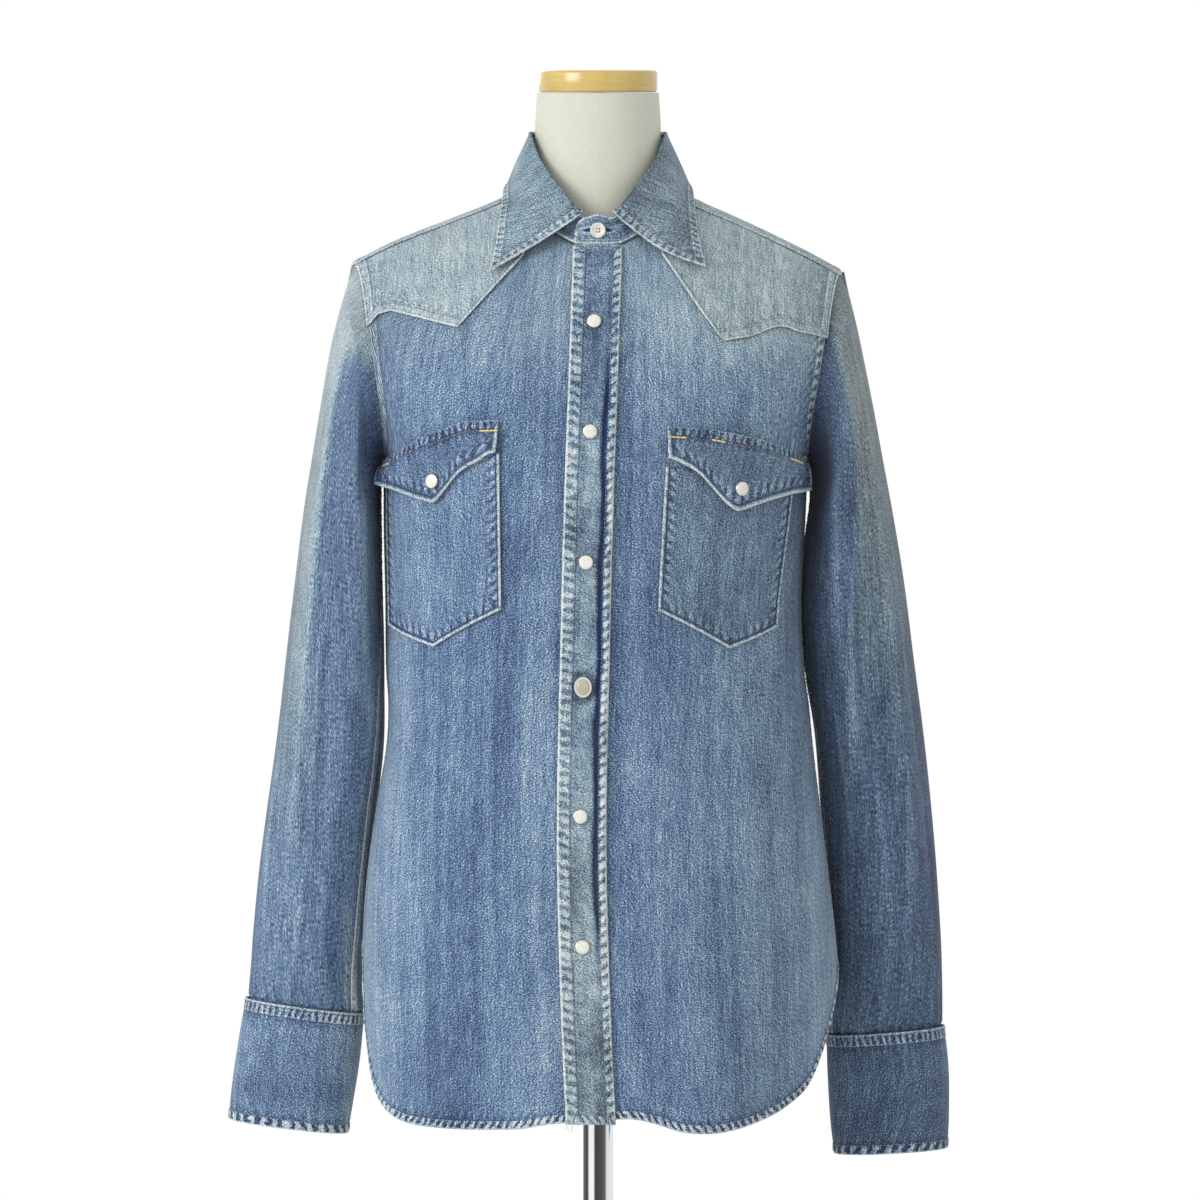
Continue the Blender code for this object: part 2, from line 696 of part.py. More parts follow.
# ---- what is sewn on the fronts --------------------------------------------------------------
def make_placket():
    rows = 28

    def place(u, v):
        z = tail_z + (1.3375 - tail_z) * v
        level = front_place(0.0, z)[1]
        x = placket_middle(z) + (2 * u - 1) * placket_half
        across = across_at(x, level)
        welt = ease((1.26 - z) / 0.05) * ease((z - 0.80) / 0.05)
        return across, level, 0.0016 * welt * bump(u - 0.88, 0.10)

    return panel("placket", place, 5, rows, material("denim_pale"), lift=0.0009, thick=0.0014)


def pocket_place(outline, side):
    """A patch between an upper and a lower outline, both from the image left to the right."""
    def spots(line):
        return [front_place(side * x, z) for x, z in line]

    top, low = spots(outline["top"]), spots(outline["lower"])

    def place(u, v):
        high, base = along(top, u), along(low, u)
        return base.lerp(high, v)

    return place


def make_pocket(side):
    place = pocket_place(pocket_outlines[side], side)
    name = "pocket_left" if side > 0 else "pocket_right"
    return panel(name, lambda u, v: (*place(u, v), 0.0), 10, 8, material("denim_body"),
                 lift=layer_gap)


def flap_lift(side, u, v):
    """The flap rises from its sewn top edge over the pocket, and its outer corner stands off."""
    over = 0.0024 * ease((1 - v) / 0.45)
    if side < 0:
        return over + 0.0050 * bump(u, 0.14) * ease((1 - v) / 0.8)
    return over + 0.0010 * bump(1 - u, 0.2) * ease(1 - v)


def make_flap(side):
    place = pocket_place(flap_outlines[side], side)
    name = "flap_left" if side > 0 else "flap_right"
    return panel(name, lambda u, v: (*place(u, v), flap_lift(side, u, v)), 12, 6,
                 material("denim_body"), lift=layer_gap + 0.0002, thick=0.0015)


# ---- sleeves and cuffs -----------------------------------------------------------------------
def armhole_point(side, turn):
    """The armhole's edge: turn is 0 at the shoulder tip, 90 in front, 180 at the underarm."""
    face = -1 if sin(radians(turn)) > 0 else 1
    rise = (1 + cos(radians(turn))) / 2
    level = asin(min(rise, 1.0) ** (roundness(face) / 2)) * 2 / pi
    across = side * armhole_across(face, level)
    return body_point(face, across, level)


def section_point(side, section, turn, power=2.15):
    angle = radians(turn)
    c, s = cos(angle), sin(angle)
    wide = (1 if c > 0 else -1) * abs(c) ** (2 / power)
    deep = (1 if s > 0 else -1) * abs(s) ** (2 / power)
    out = Vector((side * section.outer, 0, section.outer_z))
    inn = Vector((side * section.inner, 0, section.inner_z))
    middle = (out + inn) / 2 + Vector((0, section.back, 0))
    return middle + (out - inn) / 2 * wide - Vector((0, section.depth, 0)) * deep


def mixed_section(rows, row):
    """The section at a row number that need not be whole."""
    i = min(int(row), len(rows) - 2)
    f = row - i
    values = []
    for column in Section._fields:
        p = [getattr(rows[min(max(k, 0), len(rows) - 1)], column) for k in range(i - 1, i + 3)]
        values.append(0.5 * (2 * p[1] + (p[2] - p[0]) * f
                             + (2 * p[0] - 5 * p[1] + 4 * p[2] - p[3]) * f * f
                             + (3 * p[1] - p[0] - 3 * p[2] + p[3]) * f ** 3))
    return Section(*values)


def sleeve_point(side, row, turn):
    """row 0 is the armhole's edge, and row 1 on are the table's sections."""
    rows = sleeve_rows[side]
    apart = 0.0011 + 0.0012 * max(cos(radians(turn)), 0.0)
    start = armhole_point(side, turn) + Vector((side * apart, 0, 0))
    if row <= 0:
        return start
    point = section_point(side, mixed_section(rows, max(row - 1, 0)), turn)
    if row < 1:
        return start.lerp(point, row)
    middle = section_point(side, mixed_section(rows, max(row - 1, 0)), 0)
    other = section_point(side, mixed_section(rows, max(row - 1, 0)), 180)
    centre = (middle + other) / 2
    radial = (point - centre)
    radial.z = 0
    radial.normalize()
    for crease in creases[side]:
        f = (row - crease.row_top) / (crease.row_low - crease.row_top)
        place = crease.turn_top + (crease.turn_low - crease.turn_top) * f
        grow = ease(3 * f) * ease(3 - 3 * f)
        apart = (turn - place + 180) % 360 - 180
        point += radial * crease.rise * grow * bump(apart, crease.width)
    return point


def tube_inside(grid, thick, centres):
    """The inner points of a tube's wall, from the outer grid and its rings' middles."""
    inside = []
    rows, columns = len(grid), len(grid[0])
    for i in range(rows):
        line = []
        for j in range(columns):
            round_ = grid[i][(j + 1) % columns] - grid[i][(j - 1) % columns]
            down = grid[min(i + 1, rows - 1)][j] - grid[max(i - 1, 0)][j]
            normal = round_.cross(down).normalized()
            if normal.dot(grid[i][j] - centres[i]) < 0:
                normal.negate()
            line.append(grid[i][j] - normal * thick)
        inside.append(line)
    return inside


def make_sleeve(side):
    steps = 24
    count = len(sleeve_rows[side])
    levels = [0, 0.5, *range(1, count + 1)]
    grid = []
    for level in levels:
        grid.append([sleeve_point(side, level, 360 * j / steps) for j in range(steps)])
    centres = [sum(line, Vector()) / steps for line in grid]
    name = "sleeve_left" if side > 0 else "sleeve_right"
    inside = tube_inside(grid, cloth_wall, centres)
    return wall(name, grid, inside, material("denim_body"), around=True)


cuff_start = -125.0         # the cuff's free edge, on the hidden side of the wrist
cuff_lap = 24.0             # how far it laps over, in degrees


def cuff_point(side, f, turn_on, thick):
    """turn_on runs from 0 at the free outer end to 360 + cuff_lap at the inner end."""
    rows = cuff_rows[side]
    section = mixed_section(rows, f * (len(rows) - 1))
    turn = cuff_start + turn_on
    point = section_point(side, section, turn, power=2.3)
    centre = (section_point(side, section, 0) + section_point(side, section, 180)) / 2
    radial = point - centre
    radial.normalize()
    under = ease((turn_on - 270) / 90)
    return point + radial * (0.0010 - thick - under * 0.0024)


def make_cuff(side):
    rows, steps = 2, 28
    grids = []
    for thick in (0.0, 0.0016):
        grids.append([[cuff_point(side, i / rows, (360 + cuff_lap) * j / steps, thick)
                       for j in range(steps + 1)] for i in range(rows + 1)])
    name = "cuff_left" if side > 0 else "cuff_right"
    return wall(name, grids[0], grids[1], material("denim_dark"))


def make_sleeve_strip(side):
    """The bound slit above the cuff, on the hidden side."""
    first, last = 11.4, 13.6
    grids = []
    for lift in (0.0022, 0.0009):
        grid = []
        for i in range(7):
            row = first + (last - first) * i / 6
            line = []
            for j in range(4):
                turn = cuff_start - 2 + 26 * j / 3
                point = sleeve_point(side, row, turn)
                step = sleeve_point(side, row, turn + 4) - sleeve_point(side, row, turn - 4)
                down = sleeve_point(side, row + 0.2, turn) - sleeve_point(side, row - 0.2, turn)
                normal = step.cross(down).normalized()
                centre = sum((sleeve_point(side, row, k * 90) for k in range(4)), Vector()) / 4
                if normal.dot(point - centre) < 0:
                    normal.negate()
                line.append(point + normal * lift)
            grid.append(line)
        grids.append(grid)
    name = "sleeve_strip_left" if side > 0 else "sleeve_strip_right"
    return wall(name, grids[0], grids[1], material("denim_body"))


# ---- collar ----------------------------------------------------------------------------------
def stand_point(turn_on, v, thick):
    """The stand winds once round the neck: turn_on is 0 at its free outer end on the wearer's
    right of the middle, and it ends under itself."""
    turn = turn_on - stand_lap
    seam_x, seam_y = neck_xy(turn)
    across, over = top_place(seam_x, seam_y)
    face = -1 if over > 1 else 1
    level = 2 - over if over > 1 else over
    foot = body_skin(face, across, level, 0.0)
    top = fold_point(turn)
    wound = 0.0022 * (1 - turn_on / (360 + 2 * stand_lap)) - 0.0006
    out = Vector((seam_x, seam_y, 0)).normalized()
    foot = foot - out * 0.0026 + Vector((0, 0, 0.0016))
    foot.z = max(foot.z, 1.3385)
    end = 0.0
    if turn_on < tab_turn:
        end = tab_drop * (1 - sqrt(max(1 - (1 - turn_on / tab_turn) ** 2, 0.0)))
    point = foot.lerp(top, v)
    point.z -= end * v
    return point + out * (wound - thick)


def fold_point(turn):
    """The stand's top edge, where the leaf folds over."""
    angle = radians(turn)
    around = abs((turn + 180) % 360 - 180)
    reach = 0.0700 if cos(angle) > 0 else 0.0530
    z = between([Station(0.0, fold_front, 0, 0, 0)] + collar_stations, "turn", around, "fold_z")
    return Vector((fold_half_width * sin(angle), -reach * cos(angle), z - 0.0030))


def make_stand():
    steps, rows = 40, 2
    whole = 360 + 2 * stand_lap
    grids = [[[stand_point(whole * j / steps, i / rows, thick) for j in range(steps + 1)]
              for i in range(rows + 1)] for thick in (0.0, stand_wall)]
    return wall("collar_stand", grids[0], grids[1], material("denim_pale"))


def leaf_point(turn, v, lift):
    """The leaf rises off the stand's top edge, rolls over and falls to its outer edge."""
    around = abs((turn + 180) % 360 - 180)
    side = 1 if (turn + 180) % 360 - 180 > 0 else -1
    edge = Vector((side * between(collar_stations, "turn", around, "edge_x"),
                   between(collar_stations, "turn", around, "edge_y"),
                   between(collar_stations, "turn", around, "edge_z")))
    rest = shoulder_height(edge.x, edge.y) + leaf_rest
    edge.z = max(edge.z, rest) if around > 22 else edge.z
    fold = fold_point(side * around)
    out = Vector((fold.x, fold.y * 0.8, 0)).normalized()
    start = fold + Vector((0, 0, 0.0014)) + out * 0.0004
    crest = fold + out * 0.0022 + Vector((0, 0, 0.0036))
    shoulder = fold + out * 0.0040 + Vector((0, 0, 0.0004))
    if v <= 0.12:
        point = start.lerp(crest, v / 0.12)
    elif v <= 0.24:
        point = crest.lerp(shoulder, (v - 0.12) / 0.12)
    else:
        f = (v - 0.24) / 0.76
        swell = (out * 0.6 + Vector((0, 0, 0.5))) * leaf_swell * sin(pi * f)
        point = shoulder.lerp(edge, f) + swell
        sag = leaf_sags[side]
        point.z -= (sag.tip * f + sag.middle * sin(pi * f)) * ease((44 - around) / 30)
    if v < 0.12:
        normal = -out
    elif v < 0.24:
        normal = Vector((0, 0, 1))
    else:
        fall = edge - shoulder
        run = Vector((-fold.y, fold.x, 0)).normalized() * -1
        normal = fall.cross(run).normalized()
        if normal.dot(out) < 0:
            normal.negate()
    return point + normal * lift


leaf_lines = [0.0, 0.12, 0.24, 0.43, 0.62, 0.81, 1.0]


def make_leaf():
    first = collar_stations[0].turn
    steps = 32
    grids = []
    for lift in (0.0010, -0.0010):
        grids.append([[leaf_point(first + (360 - 2 * first) * j / steps, v, lift)
                       for j in range(steps + 1)] for v in leaf_lines])
    return wall("collar_leaf", grids[0], grids[1], material("denim_pale"))


# ---- snaps and button ------------------------------------------------------------------------
def snap_profile(radius, height=0.0028):
    return [(0, 0), (radius * 0.72, 0), (radius, height * 0.35), (radius * 0.97, height * 0.75),
            (radius * 0.70, height), (0, height * 0.94)]


def on_front(x, z, lift):
    across, level = front_place(x, z)
    low, high = body_skin(-1, across, level, lift), body_skin(-1, across, level, lift + 0.001)
    return low, high - low


def make_snaps():
    for count, z in enumerate(snap_heights, 1):
        place, axis = on_front(placket_middle(z) - 0.0008, z, snap_lift)
        middle = count == 4
        radius = mid_snap_radius if middle else snap_radius
        look = material("steel", 0.35, 1.0) if middle else material("pearl", 0.3)
        turned("snap_front_%d" % count, snap_profile(radius), place, axis, look)
    for side, x, z in ((-1, 0.1165, 1.1662), (1, 0.1008, 1.1607)):
        place, axis = on_front(side * x, z, flap_snap_lift)
        name = "snap_flap_left" if side > 0 else "snap_flap_right"
        turned(name, snap_profile(snap_radius), place, axis, material("pearl", 0.3))


def make_cuff_snaps():
    for side in (-1, 1):
        word = "left" if side > 0 else "right"
        for count, f in enumerate((0.26, 0.74), 1):
            place = cuff_point(side, f, 11.0, 0.0)
            along_edge = cuff_point(side, f, 17.0, 0.0) - cuff_point(side, f, 5.0, 0.0)
            down = cuff_point(side, f + 0.1, 11.0, 0.0) - cuff_point(side, f - 0.1, 11.0, 0.0)
            axis = along_edge.cross(down).normalized()
            if axis.dot(place - cuff_point(side, f, 191.0, 0.0)) < 0:
                axis.negate()
            turned("snap_cuff_%s_%d" % (word, count), snap_profile(snap_radius, 0.0024),
                   place + axis * 0.0006, axis, material("pearl", 0.3))


def make_button():
    share = (button_z - 1.3392) / 0.0218
    place = stand_point(stand_lap, share, -0.0004)
    axis = place - stand_point(stand_lap, share, 0.0010)
    profile = [(0, 0), (button_radius * 0.9, 0), (button_radius, 0.0010),
               (button_radius * 0.94, 0.0026), (button_radius * 0.72, 0.0026),
               (button_radius * 0.62, 0.0018), (0, 0.0018)]
    turned("button_stand", profile, place, axis, material("pearl", 0.3), steps=12)


# ---- the dress form and its stand ------------------------------------------------------------
def form_ring(z, clearance, steps):
    """A ring of the form's torso, inside the shirt's ring at the same height."""
    ring = []
    for k in range(steps):
        turn = 2 * pi * k / steps
        face = -1 if cos(turn) > 0 else 1
        wide = between(rings, "z", z, "left" if sin(turn) > 0 else "right") - clearance
        deep = between(rings, "z", z, "front" if face < 0 else "back") - clearance
        power = 2 / between(rings, "z", z, "power")
        ring.append(Vector((wide * (1 if sin(turn) > 0 else -1) * abs(sin(turn)) ** power,
                            face * deep * abs(cos(turn)) ** power, z)))
    return ring


def make_form():
    steps = 24
    clearance = 0.0095
    # from the shoulders in to the neck: the share of the way, and the drop below the cloth
    shoulder_drops = ((0.10, 0.0060), (0.32, 0.0050), (0.60, 0.0060), (0.84, 0.0080),
                      (1.0, 0.0120))
    loops = []
    for share in (0.0, 0.55, 0.92):
        ring = form_ring(form_bottom + 0.018, clearance, steps)
        loops.append([Vector((p.x * share, p.y * share, form_bottom)) for p in ring]
                     if share else None)
    for z in (form_bottom + 0.018, 0.84, 0.90, 0.96, 1.02, 1.08, 1.14, 1.185):
        loops.append(form_ring(z, clearance, steps))
    for level in (0.22, 0.45):
        ring = []
        for k in range(steps):
            turn = 2 * pi * k / steps
            face = -1 if cos(turn) > 0 else 1
            across = ((turn + pi) % (2 * pi) - pi) / (pi / 2)
            across = across if abs(across) <= 1 else (2 - abs(across)) * (1 if across > 0 else -1)
            ring.append(body_skin(face, across * 0.96, level, -0.0085))
        loops.append(ring)
    shoulder = loops[-1]
    for share, drop in shoulder_drops:
        ring = []
        for k in range(steps):
            turn = 2 * pi * k / steps
            neck = Vector((0.0490 * sin(turn), -0.0530 * cos(turn), 0))
            flat = Vector((shoulder[k].x, shoulder[k].y, 0)).lerp(neck, share)
            ring.append(Vector((flat.x, flat.y, shoulder_height(flat.x, flat.y) - drop
                                - cloth_wall - 0.0015)))
        loops.append(ring)
    for z, wide, deep in ((1.3880, 0.0487, 0.0512), (1.4150, 0.0469, 0.0485),
                          (1.4350, 0.0464, 0.0468)):
        loops.append([Vector((wide * sin(2 * pi * k / steps), -deep * cos(2 * pi * k / steps), z))
                      for k in range(steps)])
    top = [Vector((0.0450 * sin(2 * pi * k / steps), -0.0450 * cos(2 * pi * k / steps), 0))
           for k in range(steps)]
    for p in top:
        p.z = neck_top_z + p.y * sin(cap_tilt)
    loops.append(top)
    mesh = bmesh.new()
    low_middle = mesh.verts.new((0, 0, form_bottom))
    high_middle = mesh.verts.new((0, 0, neck_top_z))
    made = [[mesh.verts.new(p) for p in loop] for loop in loops if loop]
    for low, high in zip(made, made[1:]):
        for k in range(steps):
            m = (k + 1) % steps
            mesh.faces.new((low[k], low[m], high[m], high[k]))
    for k in range(steps):
        m = (k + 1) % steps
        mesh.faces.new((low_middle, made[0][m], made[0][k]))
        mesh.faces.new((high_middle, made[-1][k], made[-1][m]))
    return finish("form_torso", mesh, material("linen", 0.9), sharp=60)


def make_stand_parts():
    up = Vector((0, -sin(cap_tilt), cos(cap_tilt)))
    edge = 0.0016
    cap = [(0, 0), (cap_radius - edge, 0), (cap_radius, edge), (cap_radius, cap_height - edge),
           (cap_radius - edge, cap_height), (0, cap_height)]
    turned("form_cap", cap, Vector((0, 0, neck_top_z + seam_gap)), up, material("wood", 0.35),
           steps=24)
    top = form_bottom - seam_gap
    pole_start = base_height + seam_gap
    pole = [(0, 0), (pole_radius, 0), (pole_radius, top - pole_start), (0, top - pole_start)]
    turned("form_pole", pole, Vector((0, 0, pole_start)), Vector((0, 0, 1)),
           material("chrome", 0.15, 1.0), steps=24)
    plate = [(0, 0), (base_radius, 0), (base_radius, base_height * 0.6),
             (base_radius - 0.004, base_height), (0, base_height)]
    turned("form_base", plate, Vector((0, 0, 0)), Vector((0, 0, 1)),
           material("chrome", 0.25, 1.0), steps=40)


def main():
    for old in list(bpy.data.objects):
        bpy.data.objects.remove(old)
    find_seam_turns()
    for side in (-1, 1):
        make_front(side)
        make_front_yoke(side)
        make_pocket(side)
        make_flap(side)
        make_sleeve(side)
        make_cuff(side)
        make_sleeve_strip(side)
    make_back()
    make_back_yoke()
    make_placket()
    make_stand()
    make_leaf()
    make_snaps()
    make_cuff_snaps()
    make_button()
    make_form()
    make_stand_parts()


main()
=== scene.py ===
from bisect import bisect_right
from collections import namedtuple
from math import acos, asin, cos, exp, pi, radians, sin, sqrt

import bmesh
import bpy
import numpy as np
from mathutils import Matrix, Vector, noise


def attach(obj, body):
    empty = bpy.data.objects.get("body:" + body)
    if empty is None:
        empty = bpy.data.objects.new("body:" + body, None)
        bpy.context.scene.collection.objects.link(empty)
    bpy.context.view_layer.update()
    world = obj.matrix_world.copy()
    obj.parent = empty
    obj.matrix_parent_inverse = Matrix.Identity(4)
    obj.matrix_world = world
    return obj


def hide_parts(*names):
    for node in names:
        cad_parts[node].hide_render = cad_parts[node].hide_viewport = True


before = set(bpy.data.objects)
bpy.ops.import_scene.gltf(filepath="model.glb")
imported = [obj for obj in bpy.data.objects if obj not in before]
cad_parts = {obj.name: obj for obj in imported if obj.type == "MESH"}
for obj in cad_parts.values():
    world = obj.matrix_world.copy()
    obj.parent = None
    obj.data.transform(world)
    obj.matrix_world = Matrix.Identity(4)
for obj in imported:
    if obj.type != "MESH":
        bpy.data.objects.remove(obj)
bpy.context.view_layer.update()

print("frame loaded:", len(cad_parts), "nodes")

# A western denim shirt on a limbless dress form. Metres, +Z up, the front faces -Y and the
# wearer's right is at -X. side is -1 for the wearer's right and 1 for the left.

# the garment's sizes, as in the solids
clothWall = 0.0012
underarmZ = 1.185
shoulderTip = 0.1815
neckPoint = 0.070
neckPointZ = 1.378
shoulderFall = 0.30
shoulderDroop = 1.5
Sag = namedtuple("Sag", "hollow fall")
shoulderSags = {-1: Sag(0.0044, 0.0), 1: Sag(0.0026, 0.0058)}   # each side hangs its own way
ridgeDepthNeck = 0.018
ridgeDepthTip = 0.004
neckHalfWidth = 0.057
neckFront = 0.073
neckBack = 0.056
placketHalf = 0.0178
tailZ = 0.703
sideNames = {-1: "right", 1: "left"}

Ring = namedtuple("Ring", "z right left front back power")
rings = [
    Ring(1.185, 0.1580, 0.1550, 0.1150, 0.1050, 2.35),
    Ring(1.140, 0.1580, 0.1530, 0.1140, 0.1020, 2.30),
    Ring(1.080, 0.1568, 0.1500, 0.1110, 0.0940, 2.25),
    Ring(1.030, 0.1562, 0.1520, 0.1090, 0.0880, 2.20),
    Ring(1.003, 0.1545, 0.1555, 0.1085, 0.0860, 2.20),
    Ring(0.972, 0.1560, 0.1585, 0.1085, 0.0860, 2.20),
    Ring(0.930, 0.1630, 0.1635, 0.1100, 0.0900, 2.20),
    Ring(0.876, 0.1704, 0.1702, 0.1130, 0.0980, 2.20),
    Ring(0.822, 0.1738, 0.1762, 0.1160, 0.1040, 2.15),
    Ring(0.774, 0.1733, 0.1785, 0.1175, 0.1060, 2.15),
    Ring(0.700, 0.1728, 0.1765, 0.1190, 0.1070, 2.10),
]

Fold = namedtuple("Fold", "face acrossTop acrossLow zTop zLow width rise")
folds = [
    Fold(-1, 0.42, 0.34, 0.98, 0.70, 0.13, 0.0060),
    Fold(-1, 0.16, 0.17, 0.90, 0.70, 0.07, -0.0030),
    Fold(-1, -0.36, -0.42, 0.90, 0.70, 0.12, 0.0030),
    Fold(-1, 0.86, 0.55, 1.22, 1.08, 0.08, 0.0030),
    Fold(-1, -0.86, -0.62, 1.20, 1.10, 0.08, 0.0020),
    Fold(1, 0.30, 0.36, 1.02, 0.70, 0.14, 0.0070),
    Fold(1, -0.34, -0.30, 1.00, 0.70, 0.13, 0.0060),
    Fold(1, 0.00, 0.02, 0.98, 0.72, 0.12, -0.0050),
]

Hem = namedtuple("Hem", "across z")
hems = {
    -1: [Hem(0.00, 0.7045), Hem(0.10, 0.7034), Hem(0.15, 0.7016), Hem(0.20, 0.6992),
         Hem(0.30, 0.6981), Hem(0.45, 0.6980), Hem(0.55, 0.6991), Hem(0.60, 0.7006),
         Hem(0.65, 0.7034), Hem(0.70, 0.7076), Hem(0.75, 0.7143), Hem(0.80, 0.7256),
         Hem(0.85, 0.7440), Hem(0.90, 0.7700), Hem(0.95, 0.8000), Hem(1.00, 0.8220)],
    1: [Hem(0.00, 0.7045), Hem(0.05, 0.7066), Hem(0.10, 0.7056), Hem(0.15, 0.7016),
        Hem(0.20, 0.6972), Hem(0.25, 0.6956), Hem(0.30, 0.6957), Hem(0.35, 0.6974),
        Hem(0.40, 0.6998), Hem(0.50, 0.7070), Hem(0.60, 0.7178), Hem(0.65, 0.7254),
        Hem(0.70, 0.7376), Hem(0.75, 0.7532), Hem(0.80, 0.7700), Hem(0.85, 0.7840),
        Hem(0.90, 0.7950), Hem(0.95, 0.8025), Hem(1.00, 0.8070)],
}

Section = namedtuple("Section", "outer outerZ inner innerZ depth back")
sleeveRows = {
    -1: [
        Section(0.1866, 1.310, 0.1600, 1.1795, 0.0605, 0.000),
        Section(0.1925, 1.289, 0.1606, 1.1725, 0.0625, 0.001),
        Section(0.1986, 1.262, 0.1610, 1.1630, 0.0645, 0.002),
        Section(0.2046, 1.226, 0.1612, 1.1490, 0.0665, 0.004),
        Section(0.2104, 1.190, 0.1612, 1.1320, 0.0685, 0.006),
        Section(0.2176, 1.146, 0.1612, 1.1060, 0.0690, 0.008),
        Section(0.2252, 1.088, 0.1600, 1.0680, 0.0665, 0.012),
        Section(0.2322, 1.033, 0.1594, 1.0210, 0.0615, 0.017),
        Section(0.2390, 0.981, 0.1594, 0.9720, 0.0560, 0.024),
        Section(0.2466, 0.928, 0.1650, 0.9190, 0.0500, 0.030),
        Section(0.2530, 0.880, 0.1700, 0.8710, 0.0455, 0.032),
        Section(0.2577, 0.832, 0.1745, 0.8220, 0.0410, 0.032),
        Section(0.2594, 0.805, 0.1762, 0.7940, 0.0375, 0.031),
        Section(0.2602, 0.7850, 0.1752, 0.7735, 0.0340, 0.030),
    ],
    1: [
        Section(0.1866, 1.303, 0.1572, 1.1795, 0.0605, 0.000),
        Section(0.1925, 1.279, 0.1580, 1.1725, 0.0625, 0.001),
        Section(0.1988, 1.250, 0.1584, 1.1630, 0.0645, 0.002),
        Section(0.2052, 1.219, 0.1578, 1.1490, 0.0665, 0.006),
        Section(0.2115, 1.186, 0.1556, 1.1310, 0.0685, 0.013),
        Section(0.2196, 1.142, 0.1528, 1.1050, 0.0690, 0.020),
        Section(0.2280, 1.090, 0.1504, 1.0660, 0.0665, 0.025),
        Section(0.2352, 1.035, 0.1552, 1.0200, 0.0615, 0.027),
        Section(0.2414, 0.988, 0.1620, 0.9760, 0.0570, 0.029),
        Section(0.2482, 0.930, 0.1668, 0.9220, 0.0510, 0.034),
        Section(0.2531, 0.880, 0.1704, 0.8740, 0.0465, 0.038),
        Section(0.2566, 0.827, 0.1736, 0.8220, 0.0425, 0.040),
        Section(0.2571, 0.790, 0.1728, 0.7850, 0.0385, 0.038),
        Section(0.2566, 0.7635, 0.1716, 0.7570, 0.0345, 0.036),
    ],
}
cuffRows = {
    -1: [
        Section(0.2614, 0.7840, 0.1742, 0.7725, 0.0355, 0.030),
        Section(0.2674, 0.7480, 0.1776, 0.7365, 0.0350, 0.029),
        Section(0.2722, 0.7135, 0.1832, 0.7025, 0.0335, 0.028),
        Section(0.2740, 0.6940, 0.1866, 0.6833, 0.0325, 0.027),
    ],
    1: [
        Section(0.2576, 0.7625, 0.1708, 0.7560, 0.0360, 0.036),
        Section(0.2610, 0.7310, 0.1716, 0.7250, 0.0355, 0.035),
        Section(0.2612, 0.6965, 0.1736, 0.6920, 0.0340, 0.034),
        Section(0.2598, 0.6720, 0.1766, 0.6677, 0.0330, 0.033),
    ],
}

# turn goes round a sleeve in degrees: 0 outermost, 90 in front, 180 innermost
Crease = namedtuple("Crease", "turnTop turnLow rowTop rowLow width rise")
creases = {
    -1: [
        Crease(50, 68, 2, 13, 14, 0.0030), Crease(88, 92, 3, 12, 15, -0.0026),
        Crease(120, 132, 3, 9, 13, 0.0028), Crease(-60, -80, 3, 12, 18, 0.0030),
        Crease(-115, -100, 4, 12, 16, -0.0026),
    ],
    1: [
        Crease(112, 104, 3, 10, 14, 0.0030), Crease(80, 84, 3, 11, 15, -0.0024),
        Crease(54, 62, 6, 12, 16, 0.0026), Crease(-64, -84, 2, 11, 18, 0.0030),
        Crease(-112, -102, 4, 12, 16, -0.0026),
    ],
}

# the collar from the middle of the front round to the back: the fold, then the leaf's edge
Station = namedtuple("Station", "turn foldZ edgeX edgeY edgeZ")
collarStations = [
    Station(14.0, 1.3625, 0.0786, -0.0850, 1.3215), Station(30.0, 1.3775, 0.0744, -0.0690, 1.3370),
    Station(45.0, 1.3910, 0.0718, -0.0510, 1.3530), Station(60.0, 1.4050, 0.0702, -0.0300, 1.3670),
    Station(76.0, 1.4205, 0.0694, -0.0040, 1.3790), Station(95.0, 1.4262, 0.0682, 0.0210, 1.3700),
    Station(120.0, 1.4275, 0.0582, 0.0470, 1.3650), Station(150.0, 1.4275, 0.0325, 0.0650, 1.3600),
    Station(180.0, 1.4275, 0.0000, 0.0710, 1.3600),
]

# outlines on the fronts, as (distance beside the middle, height)
yokeEdges = {
    -1: {"diagonal": [(0.046, 1.351), (0.0538, 1.3290), (0.1010, 1.2765)],
         "lower": [(0.1010, 1.2765), (0.1250, 1.2830), (0.1500, 1.2900), (0.1590, 1.2880),
                   (0.1660, 1.2805)]},
    1: {"diagonal": [(0.046, 1.351), (0.0462, 1.3300), (0.0722, 1.2905), (0.0880, 1.2690)],
        "lower": [(0.0880, 1.2690), (0.0915, 1.2668), (0.1007, 1.2685), (0.1095, 1.2700),
                  (0.1166, 1.2726), (0.1237, 1.2760), (0.1310, 1.2778), (0.1377, 1.2772),
                  (0.1448, 1.2742), (0.1530, 1.2732), (0.1650, 1.2712)]},
}
pocketOutlines = {
    -1: {"top": [(0.1528, 1.1690), (0.1100, 1.1790), (0.0705, 1.1860)],
         "lower": [(0.1515, 1.0620), (0.1180, 1.0462), (0.0690, 1.0732)]},
    1: {"top": [(0.0485, 1.1760), (0.0950, 1.1690), (0.1400, 1.1590)],
        "lower": [(0.0430, 1.0725), (0.0938, 1.0450), (0.1288, 1.0605)]},
}
